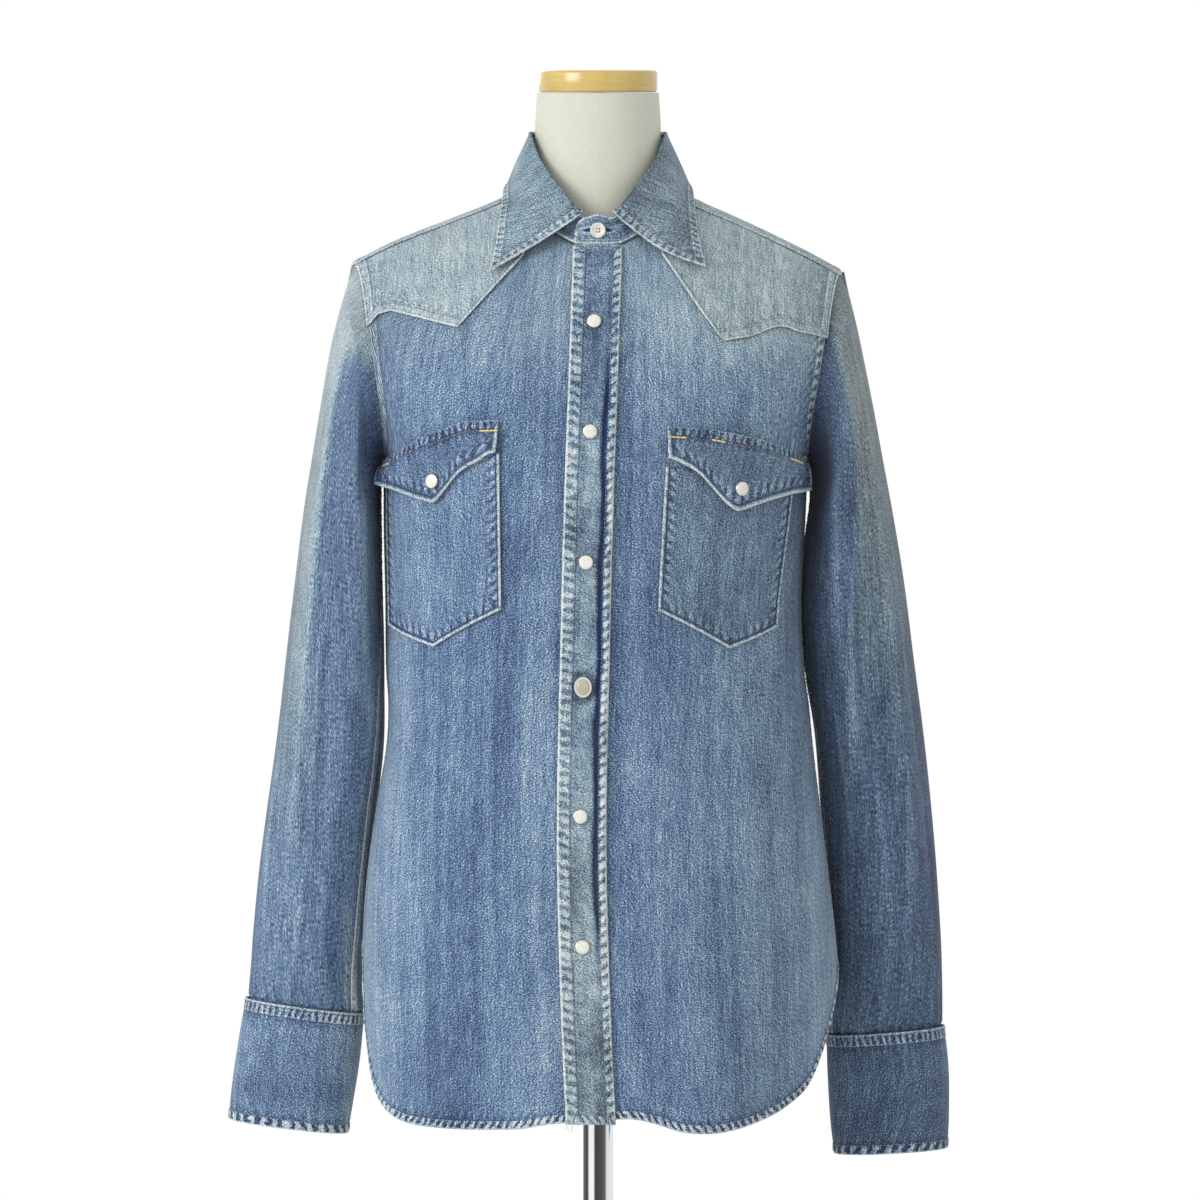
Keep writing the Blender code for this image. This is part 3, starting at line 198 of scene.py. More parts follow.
flapOutlines = {
    -1: {"top": [(0.1545, 1.1815), (0.1450, 1.1885), (0.1170, 1.2020), (0.0950, 1.2095),
                 (0.0708, 1.2095)],
         "lower": [(0.1530, 1.1650), (0.1385, 1.1578), (0.1235, 1.1522), (0.1165, 1.1502),
                   (0.1130, 1.1530), (0.1070, 1.1606), (0.1020, 1.1674), (0.0970, 1.1726),
                   (0.0910, 1.1766), (0.0850, 1.1796), (0.0722, 1.1862)]},
    1: {"top": [(0.0497, 1.2047), (0.0795, 1.2034), (0.1140, 1.1975), (0.1495, 1.1845)],
        "lower": [(0.0497, 1.1822), (0.0560, 1.1800), (0.0625, 1.1768), (0.0690, 1.1728),
                  (0.0740, 1.1686), (0.0785, 1.1632), (0.0840, 1.1568), (0.0900, 1.1500),
                  (0.0955, 1.1456), (0.0990, 1.1443), (0.1030, 1.1455), (0.1110, 1.1487),
                  (0.1235, 1.1532), (0.1375, 1.1575), (0.1500, 1.1608)]},
}
Lean = namedtuple("Lean", "z x")
placketLean = [Lean(1.345, 0.0), Lean(1.25, -0.0030), Lean(1.15, -0.0065), Lean(1.01, -0.0100),
               Lean(0.94, -0.0115), Lean(0.87, -0.0112), Lean(0.78, -0.0085), Lean(0.69, -0.0045)]


# small helpers
def curve(rows, key, column):
    # a smooth function through one column of a table, read by another
    pairs = sorted((getattr(row, key), getattr(row, column)) for row in rows)
    keys = [pair[0] for pair in pairs]
    values = [pair[1] for pair in pairs]
    last = len(keys) - 2

    def value(at):
        at = min(max(at, keys[0]), keys[-1])
        i = min(max(bisect_right(keys, at) - 1, 0), last)
        span = keys[i + 1] - keys[i]
        f = (at - keys[i]) / span
        slope = (values[i + 1] - values[i]) / span
        before = slope if i == 0 else (values[i + 1] - values[i - 1]) / (keys[i + 1] - keys[i - 1])
        after = slope if i == last else (values[i + 2] - values[i]) / (keys[i + 2] - keys[i])
        h = f * f * (3 - 2 * f)
        return (values[i] * (1 - h) + values[i + 1] * h
                + span * (before * f * (1 - f) ** 2 - after * f * f * (1 - f)))

    return value


def along(points, f):
    # a point on a broken line, f from 0 to 1 by length
    lengths = [(Vector(b) - Vector(a)).length for a, b in zip(points, points[1:])]
    left = min(max(f, 0.0), 1.0) * sum(lengths)
    for (a, b), length in zip(zip(points, points[1:]), lengths):
        if left <= length:
            return Vector(a).lerp(Vector(b), left / length)
        left -= length
    return Vector(points[-1])


def patch(bottom, top, start, end, u, v):
    # a point inside four boundary curves
    sides = start(v) * (1 - u) + end(v) * u
    ends = bottom(u) * (1 - v) + top(u) * v
    corners = (bottom(0) * (1 - u) + bottom(1) * u) * (1 - v) + (top(0) * (1 - u) + top(1) * u) * v
    return sides + ends - corners


def bump(x, width):
    return exp(-(x / width) ** 2)


def ease(f):
    f = min(max(f, 0.0), 1.0)
    return f * f * (3 - 2 * f)


def sideOf(x):
    return 1 if x > 0 else -1


def between(value, low, rise, high, fall):
    # 1 from low to high, easing in over rise and out over fall
    return ease((high - value) / fall) * ease((value - low) / rise)


def wrapped(turn):
    # degrees from -180 to 180
    return (turn + 180) % 360 - 180


def steps(*runs):
    # positions from 0 to 1: each run is (end, number of steps up to it)
    values = [0.0]
    for end, count in runs:
        start = values[-1]
        values += [start + (end - start) * k / count for k in range(1, count + 1)]
    return values


# the shirt's body surface
# across runs from 0 in the middle to -1 or 1 at the side seams. level is the height over the
# underarm in metres below it, and 0 to 1 from there to the shoulder line. over runs on past 1.
ringSide = {-1: curve(rings, "z", "right"), 1: curve(rings, "z", "left")}
ringDepth = {-1: curve(rings, "z", "front"), 1: curve(rings, "z", "back")}
ringPower = curve(rings, "z", "power")
hemCurve = {side: curve(hems[side], "across", "z") for side in (-1, 1)}
placketMiddle = curve(placketLean, "z", "x")
roundness = {-1: 2.0, 1: 2.5}
armholeWidest = {-1: 25.0, 1: 23.0}


def ridgeZ(x):
    out = sqrt(x * x + 0.0009) - sqrt(neckPoint ** 2 + 0.0009)
    sag = shoulderSags[sideOf(x)]
    away = abs(x) - 0.055
    lowered = sag.hollow * bump(away - 0.055, 0.050) * ease(away / 0.030) + sag.fall * ease(away / 0.115)
    return neckPointZ - shoulderFall * out - shoulderDroop * max(out, 0.0) ** 2 - lowered


def ridgeY(x):
    return ridgeDepthNeck + (ridgeDepthTip - ridgeDepthNeck) * min(abs(x) / shoulderTip, 1)


def halfWidth(across, level):
    side = sideOf(across)
    if level < 0:
        return ringSide[side](underarmZ + level)
    low = ringSide[side](underarmZ)
    return low + (shoulderTip - low) * (1 - (1 - sin(level * pi / 2)) ** 2)


def squareness(level):
    if level < 0:
        return ringPower(underarmZ + level)
    return rings[0].power + (3.0 - rings[0].power) * ease(level / 0.35)


def acrossAt(x, level):
    share = min(abs(x) / halfWidth(x, level), 1.0)
    return sideOf(x) * asin(share ** (squareness(level) / 2)) * 2 / pi


def bodyPoint(face, across, level):
    angle = abs(across) * pi / 2
    power = 2 / squareness(level)
    deep = max(cos(angle), 0.0) ** power
    x = sideOf(across) * halfWidth(across, level) * sin(angle) ** power
    if level < 0:
        z = underarmZ + level
        y = face * ringDepth[face](z) * deep
    else:
        run = max(cos(level * pi / 2), 0.0) ** (2 / roundness[face])
        rise = sin(level * pi / 2) ** (2 / roundness[face])
        depth = rings[0].front if face < 0 else rings[0].back
        y = ridgeY(x) * (1 - run) + face * depth * run * deep
        z = underarmZ + (ridgeZ(x) - underarmZ) * rise
    for fold in folds:
        if fold.face == face:
            f = (fold.zTop - z) / (fold.zTop - fold.zLow)
            place = fold.acrossTop + (fold.acrossLow - fold.acrossTop) * f
            grow = ease(f) if fold.zLow <= 0.72 else ease(2 * f) * ease(2 - 2 * f)
            y += face * fold.rise * grow * bump(across - place, fold.width) * deep
    return Vector((x, y, z))


def overPoint(across, over, face=1):
    return bodyPoint(-1, across, 2 - over) if over > 1 else bodyPoint(face, across, over)


def bodySkin(face, across, level, lift):
    step = 0.002
    side = bodyPoint(face, min(across + step, 1.0), level) - bodyPoint(face, max(across - step, -1.0), level)
    up = bodyPoint(face, across, min(level + step, 1.0)) - bodyPoint(face, across, level - step)
    return bodyPoint(face, across, level) + side.cross(up).normalized() * (-face * lift)


def frontPlace(x, z):
    level = z - underarmZ
    if level > 0:
        share = min(level / (ridgeZ(x) - underarmZ), 1.0)
        level = asin(share ** (roundness[-1] / 2)) * 2 / pi
    return Vector((acrossAt(x, level), level))


def topPlace(x, y):
    middle = ridgeY(x)
    face = -1 if y < middle else 1
    depth = rings[0].front if face < 0 else rings[0].back
    level = 0.7
    for _ in range(6):
        across = acrossAt(x, level)
        deep = cos(abs(across) * pi / 2) ** (2 / squareness(level))
        run = (y - middle) / (face * depth * deep - middle)
        level = acos(min(max(run, 0.0), 1.0) ** (roundness[face] / 2)) * 2 / pi
    return Vector((across, 2 - level if face < 0 else level))


def shoulderHeight(x, y):
    return overPoint(*topPlace(x, y)).z


def armholeAcross(face, level):
    if level <= 0:
        return 0.9995
    return 0.9995 - armholeWidest[face] / 90 * sqrt(max(sin(pi * min(level, 1.0) ** 0.75), 0.0))


def armholePlace(sign, over):
    if over > 1:
        return Vector((sign * armholeAcross(-1, 2 - over), over))
    return Vector((sign * armholeAcross(1, over), over))


def hemLevel(across):
    return hemCurve[sideOf(across)](abs(across)) - underarmZ


def neckXy(turn):
    angle = radians(turn)
    return neckHalfWidth * sin(angle), -(neckFront if cos(angle) > 0 else neckBack) * cos(angle)


def neckPlace(turn):
    return topPlace(*neckXy(turn))


shoulderSeamLevel = {-1: 0.86, 1: 0.81}


def seamTurnOf(side):
    # where the shoulder seam meets the neck seam
    low, high = 40.0, 100.0
    for _ in range(30):
        mid = (low + high) / 2
        if 2 - neckPlace(side * mid)[1] < shoulderSeamLevel[side]:
            low = mid
        else:
            high = mid
    return mid


seamTurn = {side: seamTurnOf(side) for side in (-1, 1)}


def backYokeLevel(across):
    return 0.20 + 0.20 * abs(across)


# materials
class Graph:
    # short ways to add shader nodes to one material
    def __init__(self, name):
        self.look = bpy.data.materials.new(name)
        self.look.use_nodes = True
        self.tree = self.look.node_tree
        self.shader = self.tree.nodes["Principled BSDF"]

    def node(self, kind):
        return self.tree.nodes.new("ShaderNode" + kind)

    def put(self, value, socket):
        if isinstance(value, bpy.types.NodeSocket):
            self.tree.links.new(value, socket)
        else:
            socket.default_value = value

    def paint(self, value):
        self.put(value, self.shader.inputs["Base Color"])

    def maths(self, operation, *values, clamp=False):
        node = self.node("Math")
        node.operation = operation
        node.use_clamp = clamp
        for value, socket in zip(values, node.inputs):
            self.put(value, socket)
        return node.outputs[0]

    def times(self, first, second):
        return self.maths("MULTIPLY", first, second)

    def total(self, *values):
        result = values[0]
        for value in values[1:]:
            result = self.maths("ADD", result, value)
        return result

    def spread(self, value, start, end, low=0.0, high=1.0):
        node = self.node("MapRange")
        node.interpolation_type = "SMOOTHSTEP"
        for number, socket in zip((value, start, end, low, high), node.inputs):
            self.put(number, socket)
        return node.outputs[0]

    def pulse(self, value, centre, width):
        away = self.maths("ABSOLUTE", self.maths("SUBTRACT", value, centre))
        return self.spread(away, width, 0.0)

    def attribute(self, name):
        node = self.node("Attribute")
        node.attribute_name = name
        return node.outputs["Fac"]

    def scaled(self, vector, scale):
        node = self.node("VectorMath")
        node.operation = "MULTIPLY"
        self.put(vector, node.inputs[0])
        node.inputs[1].default_value = scale
        return node.outputs[0]

    def turned(self, vector, angle, scale):
        node = self.node("Mapping")
        node.vector_type = "TEXTURE"
        node.inputs["Rotation"].default_value = (0, 0, angle)
        node.inputs["Scale"].default_value = scale
        self.put(vector, node.inputs["Vector"])
        return node.outputs[0]

    def greyed(self, colour, share):
        # less blue, and greener with it
        node = self.node("HueSaturation")
        self.put(self.maths("SUBTRACT", 1.0, share), node.inputs["Saturation"])
        hue = self.times(self.maths("MAXIMUM", share, 0.0), -0.10)
        self.put(self.maths("ADD", hue, 0.5), node.inputs["Hue"])
        self.put(colour, node.inputs["Color"])
        return node.outputs[0]

    def noise(self, vector, scale, detail=2.0, rough=0.5):
        # noise about zero
        node = self.node("TexNoise")
        self.put(vector, node.inputs["Vector"])
        node.inputs["Scale"].default_value = scale
        node.inputs["Detail"].default_value = detail
        node.inputs["Roughness"].default_value = rough
        return self.maths("SUBTRACT", node.outputs["Fac"], 0.5)

    def ramp(self, value, stops):
        node = self.node("ValToRGB")
        elements = node.color_ramp.elements
        while len(elements) < len(stops):
            elements.new(0.5)
        for element, (place, colour) in zip(elements, stops):
            element.position = place
            element.color = (*colour, 1.0)
        self.put(value, node.inputs[0])
        return node.outputs[0]

    def bump(self, height, distance, strength=1.0):
        node = self.node("Bump")
        node.inputs["Distance"].default_value = distance
        node.inputs["Strength"].default_value = strength
        self.put(height, node.inputs["Height"])
        self.put(node.outputs[0], self.shader.inputs["Normal"])

    def surface(self, roughness, metallic=0.0, sheen=0.0):
        self.shader.inputs["Roughness"].default_value = roughness
        self.shader.inputs["Metallic"].default_value = metallic
        self.shader.inputs["Sheen Weight"].default_value = sheen


def plainVector(graph, name):
    node = graph.node("UVMap" if name else "TexCoord")
    if name:
        node.uv_map = name
        return node.outputs["UV"]
    return node.outputs["Object"]


denimStops = [
    (0.00, (0.008, 0.015, 0.045)), (0.20, (0.022, 0.043, 0.108)), (0.40, (0.060, 0.108, 0.210)),
    (0.58, (0.118, 0.200, 0.318)), (0.76, (0.220, 0.317, 0.398)), (0.90, (0.385, 0.450, 0.465)),
    (1.00, (0.560, 0.590, 0.560)),
]
denimSettings = {
    "denimBody": {"speckle": 2.45, "streak": 0.70, "mottle": 0.32, "twill": 0.030},
    "denimYoke": {"speckle": 2.30, "streak": 0.75, "mottle": 0.40, "twill": 0.030},
    "denimTrim": {"speckle": 2.30, "streak": 0.35, "mottle": 0.85, "twill": 0.02},
    "denimInside": {"speckle": 0.70, "streak": 0.30, "mottle": 0.16, "twill": 0.03},
}


def denim(name):
    # twill cloth: warp streaks, weft, slubs and wash from the cloth's own UV, which is in metres,
    # and worn seams, with painted shadow in their grooves, from the attributes that bandFields makes
    settings = denimSettings[name]
    graph = Graph(name)
    cloth = plainVector(graph, "cloth")
    warp = graph.noise(graph.scaled(cloth, (1.0, 0.060, 1.0)), 900.0, 2.0, 0.6)
    weft = graph.noise(graph.scaled(cloth, (0.15, 1.0, 1.0)), 1250.0, 1.0)
    speck = graph.noise(graph.turned(cloth, radians(-58), (1.0, 1.6, 1.0)), 1180.0, 1.5, 0.75)
    mottle = graph.noise(cloth, 22.0, 4.0, 0.6)
    blotch = graph.noise(cloth, 130.0, 3.0, 0.6)
    slub = graph.noise(graph.scaled(cloth, (1.0, 0.035, 1.0)), 170.0, 3.0, 0.6)
    parts = graph.node("SeparateXYZ")
    graph.put(cloth, parts.inputs[0])
    twill = graph.maths("SINE", graph.total(graph.times(parts.outputs[0], 3500.0),
                                            graph.times(parts.outputs[1], 1900.0),
                                            graph.times(weft, 3.0)))

    seam, wear, cord = (graph.attribute(title) for title in ("seam", "wear", "cord"))
    ridge = graph.spread(cord, 1.0, 0.45)
    groove = graph.times(graph.attribute("line"), graph.pulse(cord, 1.28, 0.34))
    jitter = graph.noise(cloth, 310.0, 2.0, 0.6)
    phase = graph.total(graph.times(graph.attribute("run"), 2 * pi),
                        graph.times(blotch, 7.0), graph.times(jitter, 4.5))
    mark = graph.times(graph.maths("SUBTRACT", 0.40, graph.spread(graph.maths("SINE", phase), -0.6, 1.0)),
                       graph.spread(jitter, -0.22, 0.16, 0.35, 1.25))
    strip = graph.spread(seam, 1.10, 0.80)
    blobs = graph.times(graph.times(mark, graph.attribute("ticks")),
                        graph.times(strip, graph.spread(seam, -0.02, 0.26)))
    twin = graph.times(graph.attribute("twin"), graph.pulse(seam, 0.90, 0.12))
    # the pale ridge, puckers, strip and twin line are wear; the dark line inside the ridge and the dark lines
    # at and beyond the stitching are painted shadow of the seam's grooves, partly unfaded cloth
    worn = graph.total(
        graph.times(ridge, 0.31), graph.times(groove, -0.30),
        graph.times(blobs, 0.40), graph.times(strip, 0.08),
        graph.times(twin, 0.30),
        graph.times(graph.pulse(seam, 1.00, 0.16), -0.20),
        graph.times(graph.pulse(seam, 1.28, 0.30), -0.08))
    halo = graph.times(graph.attribute("halo"), mark)
    # the fade field holds the cloth's fade together with the shade and light painted on each piece
    wash = graph.total(
        graph.attribute("fadeAndPaintedShading"),
        graph.times(warp, settings["streak"]),
        graph.times(weft, 0.30),
        graph.times(speck, settings["speckle"]),
        graph.times(mottle, settings["mottle"]),
        graph.times(blotch, settings["mottle"] * 0.7),
        graph.times(slub, settings["streak"] * 0.6),
        graph.times(twill, settings["twill"]),
        graph.times(halo, 0.26),
        graph.times(worn, wear))
    colour = graph.greyed(graph.ramp(wash, denimStops), graph.attribute("dirt"))
    graph.paint(colour)
    height = graph.total(speck, graph.times(warp, 0.8), graph.times(halo, 0.8),
                         graph.times(graph.times(blobs, wear), 1.8))
    graph.bump(height, 0.00026, 0.9)
    graph.surface(0.88, sheen=0.06)
    return graph.look


def threadLook(name, dark, pale):
    graph = Graph(name)
    speck = graph.noise(plainVector(graph, None), 900.0, 2.0)
    graph.paint(graph.ramp(graph.maths("ADD", speck, 0.5), [(0.3, dark), (0.7, pale)]))
    graph.bump(speck, 0.0001)
    graph.surface(0.75, sheen=0.1)
    return graph.look


def pearlLook():
    graph = Graph("pearl")
    place = plainVector(graph, None)
    cloud = graph.noise(place, 260.0, 3.0)
    veins = graph.noise(graph.scaled(place, (1.0, 1.0, 3.0)), 620.0, 2.0)
    value = graph.total(cloud, graph.times(veins, 0.5), 0.5)
    graph.paint(graph.ramp(value, [(0.2, (0.50, 0.49, 0.42)), (0.5, (0.60, 0.595, 0.53)),
                                 (0.8, (0.66, 0.66, 0.63))]))
    graph.bump(cloud, 0.00008)
    graph.surface(0.22)
    graph.shader.inputs["Coat Weight"].default_value = 0.5
    graph.shader.inputs["Coat Roughness"].default_value = 0.08
    return graph.look


def metalLook(name, colour, roughness, scratch=0.15):
    graph = Graph(name)
    place = plainVector(graph, None)
    brush = graph.noise(graph.scaled(place, (1.0, 1.0, 0.06)), 700.0, 2.0)
    cloud = graph.noise(place, 30.0, 3.0)
    mixed = graph.total(graph.times(cloud, 0.4), 0.5)
    darker = tuple(c * 0.88 for c in colour)
    graph.paint(graph.ramp(mixed, [(0.3, darker), (0.7, colour)]))
    graph.put(graph.maths("ADD", graph.times(brush, scratch), roughness, clamp=True),
              graph.shader.inputs["Roughness"])
    graph.shader.inputs["Metallic"].default_value = 1.0
    return graph.look


# painted reflection: share of the way round the pole, and how bright it is there
poleReflectionBands = [(0.00, 0.06), (0.13, 0.07), (0.15, 0.86), (0.20, 0.88), (0.218, 0.05), (0.29, 0.08),
             (0.33, 0.14), (0.35, 0.74), (0.44, 0.82), (0.47, 0.40), (0.60, 0.12), (0.63, 0.78),
             (0.78, 0.74), (0.81, 0.12), (0.90, 0.16), (0.93, 0.62), (1.00, 0.06)]


def poleLook():
    # polished tube: a painted reflection, as if light and dark bands of a room stand round it
    graph = Graph("chromePaintedReflection")
    parts = graph.node("SeparateXYZ")
    graph.put(plainVector(graph, None), parts.inputs[0])
    angle = graph.maths("ARCTAN2", parts.outputs[1], parts.outputs[0])
    share = graph.total(graph.times(angle, 0.5 / pi), 0.5)
    graph.paint(graph.ramp(share, [(place, (tone, tone * 1.01, tone * 1.04)) for place, tone in poleReflectionBands]))
    graph.surface(0.16, metallic=1.0)
    return graph.look


def linenLook():
    graph = Graph("linen")
    cloth = plainVector(graph, "cloth")
    warp = graph.noise(graph.scaled(cloth, (1.0, 0.08, 1.0)), 1400.0, 2.0)
    weft = graph.noise(graph.scaled(cloth, (0.08, 1.0, 1.0)), 1400.0, 2.0)
    cloud = graph.noise(cloth, 14.0, 3.0)
    value = graph.total(graph.times(warp, 0.6), graph.times(weft, 0.6),
                        graph.times(cloud, 0.3), 0.5)
    graph.paint(graph.ramp(value, [(0.15, (0.42, 0.42, 0.345)), (0.5, (0.50, 0.505, 0.425)),
                                 (0.85, (0.56, 0.565, 0.49))]))
    graph.bump(graph.total(warp, weft), 0.00015)
    graph.surface(0.9, sheen=0.1)
    return graph.look


def woodLook():
    # bent plywood: fine level lines round the edge and slow changes of tone
    graph = Graph("wood")
    place = plainVector(graph, None)
    slow = graph.noise(graph.scaled(place, (1.0, 1.0, 0.5)), 55.0, 3.0)
    fine = graph.noise(graph.scaled(place, (0.12, 0.12, 3.0)), 380.0, 3.0)
    value = graph.total(graph.times(slow, 0.7), graph.times(fine, 0.6), 0.5)
    graph.paint(graph.ramp(value, [(0.1, (0.34, 0.22, 0.045)), (0.45, (0.47, 0.33, 0.085)),
                                 (0.85, (0.57, 0.43, 0.14))]))
    graph.bump(fine, 0.00008)
    graph.surface(0.30)
    graph.shader.inputs["Coat Weight"].default_value = 0.4
    graph.shader.inputs["Coat Roughness"].default_value = 0.15
    return graph.look


looks = {name: denim(name) for name in denimSettings}
looks["threadTone"] = threadLook("threadTone", (0.10, 0.13, 0.19), (0.42, 0.47, 0.52))
looks["threadPale"] = threadLook("threadPale", (0.36, 0.38, 0.36), (0.66, 0.67, 0.62))
looks["threadGold"] = threadLook("threadGold", (0.46, 0.34, 0.10), (0.72, 0.60, 0.26))
looks["threadWorn"] = threadLook("threadWorn", (0.14, 0.11, 0.06), (0.34, 0.27, 0.14))
# dark navy thread, made darker still as painted shade of the pocket and flap stitch lines
looks["threadDark"] = threadLook("threadDark", (0.03, 0.045, 0.08), (0.12, 0.15, 0.19))
looks["threadWhite"] = threadLook("threadWhite", (0.55, 0.54, 0.50), (0.82, 0.81, 0.77))
looks["pearl"] = pearlLook()
looks["steel"] = metalLook("steel", (0.74, 0.72, 0.68), 0.28)
looks["chrome"] = metalLook("chrome", (0.60, 0.61, 0.63), 0.10, 0.05)
looks["chromePaintedReflection"] = poleLook()
looks["linen"] = linenLook()
looks["wood"] = woodLook()
print("materials made:", len(looks))


# cloth pieces
Cloth = namedtuple("Cloth", "points normals across down us vs")
pieces = {}


def arc(points, axis):
    lengths = np.linalg.norm(np.diff(points, axis=axis), axis=2)
    pad = [(0, 0), (0, 0)]
    pad[axis] = (1, 0)
    return np.pad(np.cumsum(lengths, axis=axis), pad)


def gridNormals(points, around):
    if around:
        ring = np.concatenate([points[:, -2:-1], points, points[:, 1:2]], axis=1)
        side = ring[:, 2:] - ring[:, :-2]
    else:
        side = np.gradient(points, axis=1)
    up = np.gradient(points, axis=0)
    normals = np.cross(side, up)
    return normals / np.maximum(np.linalg.norm(normals, axis=2, keepdims=True), 1e-12)


def bandFields(bands, across, down, us, vs):
    # the worked edge nearest to each point: seam is 0 at the edge and 1 at its stitching, cord the
    # same for the edge's own roll, run counts the puckers along it, wear and halo how worn it is;
    # wear also sets the painted shadows in its grooves, and line the painted dark line inside the roll
    fields = {title: np.zeros(across.shape) for title in ("run", "wear", "halo", "line", "ticks", "twin")}
    fields["seam"] = np.full(across.shape, 6.0)
    fields["cord"] = np.full(across.shape, 2.0)
    rise = np.zeros(across.shape)
    uGrid, vGrid = np.meshgrid(us, vs)
    for item in bands:
        edge = item["edge"]
        if edge in ("left", "right"):
            away = across if edge == "left" else across[:, -1:] - across
            on, other = down, vGrid
        elif edge in ("low", "top"):
            away = down if edge == "low" else down[-1:] - down
            on, other = across, uGrid
        else:                              # a seam down the piece along the line u = at(v)
            line = np.array([[np.interp(item["at"](v), us, across[i])] for i, v in enumerate(vs)])
            away = (across - line) * item["way"]
            away = np.where(away < -0.0004, 1.0, np.abs(away))
            on, other = down, vGrid
        away = away * item.get("slant", 1.0)
        share = away / item["width"]
        along = (on + item.get("skew", 0.3) * away) / item["pitch"]
        inside = (other >= item.get("start", -1)) & (other <= item.get("end", 2))
        nearer = (share < fields["seam"]) & inside
        roll = away / item.get("cordWidth", 0.0016)
        past = (away - item["width"] * 1.1) / item.get("haloWidth", 0.0055)
        glow = item.get("halo", 0.8) * np.clip(past / 0.25, 0, 1) * np.exp(-np.clip(past, 0, 9) ** 2)
        new = {"seam": share, "run": along, "halo": glow, "cord": np.clip(roll, 0, 2),
               "wear": item.get("wear", 1.0), "line": item.get("line", 0.0),
               "ticks": item.get("ticks", 1.0), "twin": item.get("twin", 0.0)}
        for title, values in new.items():
            fields[title] = np.where(nearer, values, fields[title])
        puckers = item.get("pucker", 0.0002) * np.sin(2 * pi * along)
        body = np.clip((1.05 - share) / 0.12, 0, 1) * np.clip((share + 0.25) / 0.45, 0, 1)
        groove = -0.00035 * np.exp(-((share - 0.98) / 0.10) ** 2)
        lifted = body * (item.get("rise", 0.0005) + puckers * np.sin(pi * np.clip(share, 0, 1))) + groove
        lifted = lifted + item.get("cord", 0.0) * np.exp(-((roll - 0.5) / 0.5) ** 2)
        rise = np.where(inside & (share < 1.3), np.where(np.abs(lifted) > np.abs(rise), lifted, rise), rise)
    return fields, rise


def clothPiece(node, look, us, vs, place, lift, fadeAndPaintedShading, dirt=0.0, bands=(), wall=clothWall,
               around=False, flip=False, plumb=False, middle=0.0, uvStart=(0.0, 0.0)):
    # a grid laid on the garment by place(u, v), moved out by lift, with a wall inside it. The grain
    # runs down from u = middle, and both ways from the top line of a piece that goes around
    name = "shell_" + node
    base = np.array([[place(u, v)[:] for u in us] for v in vs])
    normals = gridNormals(base, around) * (-1 if flip else 1)
    across, down = arc(base, 1), arc(base, 0)
    fields, rise = bandFields(bands, across, down, us, vs)

    def everywhere(value):
        if not callable(value):
            return np.full(across.shape, value)
        return np.array([[value(u, v, Vector(base[i, j])) for j, u in enumerate(us)]
                         for i, v in enumerate(vs)])

    points = base + normals * (rise + everywhere(lift))[:, :, None]
    # the fade field holds each piece's fade together with the shade and light painted into it
    fields["fadeAndPaintedShading"], fields["dirt"] = everywhere(fadeAndPaintedShading), everywhere(dirt)
    bm = bmesh.new()
    for title in fields:
        bm.verts.layers.float.new(title)
    bm.loops.layers.uv.new("cloth")
    keys = {title: bm.verts.layers.float[title] for title in fields}
    uvKey = bm.loops.layers.uv["cloth"]
    bmesh.ops.create_grid(bm, x_segments=len(us) - 1, y_segments=len(vs) - 1, size=0.5)
    bm.verts.index_update()
    column = int(np.argmin(np.abs(np.array(us) - middle)))
    aside = across - across[:, column:column + 1]
    if around:
        aside = np.where(np.array(us) > 0.5, across - across[:, -1:], across)
    weave = (base[:, :, 0], base[:, :, 2] + 0.5 * base[:, :, 1]) if plumb else (aside, down)
    clothUv = {}
    for k, vert in enumerate(bm.verts):    # the grid's points run row by row
        i, j = divmod(k, len(us))
        vert.co = points[i, j]
        clothUv[vert.index] = (uvStart[0] + weave[0][i, j], uvStart[1] + weave[1][i, j])
        for title, key in keys.items():
            vert[key] = fields[title][i, j]
    for face in bm.faces:
        face.smooth = True
        for loop in face.loops:
            loop[uvKey].uv = clothUv[loop.vert.index]
    if around:
        bmesh.ops.remove_doubles(bm, verts=bm.verts, dist=1e-6)
    if flip:
        bmesh.ops.reverse_faces(bm, faces=bm.faces)
    data = bpy.data.meshes.new(name)
    bm.to_mesh(data)
    bm.free()
    data.materials.append(looks[look])
    data.materials.append(looks["denimInside"])
    piece = bpy.data.objects.new(name, data)
    bpy.context.scene.collection.objects.link(piece)
    solid = piece.modifiers.new("wall", "SOLIDIFY")
    solid.thickness = wall
    solid.offset = -1
    solid.material_offset = 1
    solid.use_even_offset = False
    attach(piece, "root")
    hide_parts(node)
    pieces[name] = Cloth(points, gridNormals(points, around) * (-1 if flip else 1), across, down, us, vs)
    return piece


def grain(point, size, seed=0.0):
    return noise.noise(Vector((point[0] / size + seed, point[1] / size, point[2] / size * 0.6)))


def streaks(point, wide, deep, high):
    return noise.noise(Vector((point[0] / wide, point[1] / deep, point[2] / high)))


def softWaves(point, size, seed=0.0):
    # slow, mostly upright unevenness of hanging cloth
    return noise.noise(Vector((point[0] / size + seed, point[1] / size, point[2] / size * 0.35)))


# how faded the cloth is, and the shade and light painted on the body
bodyTones = {"base": 0.432, "upper": 0.060, "chest": {-1: -0.02, 1: 0.10}, "yoke": 0.632}


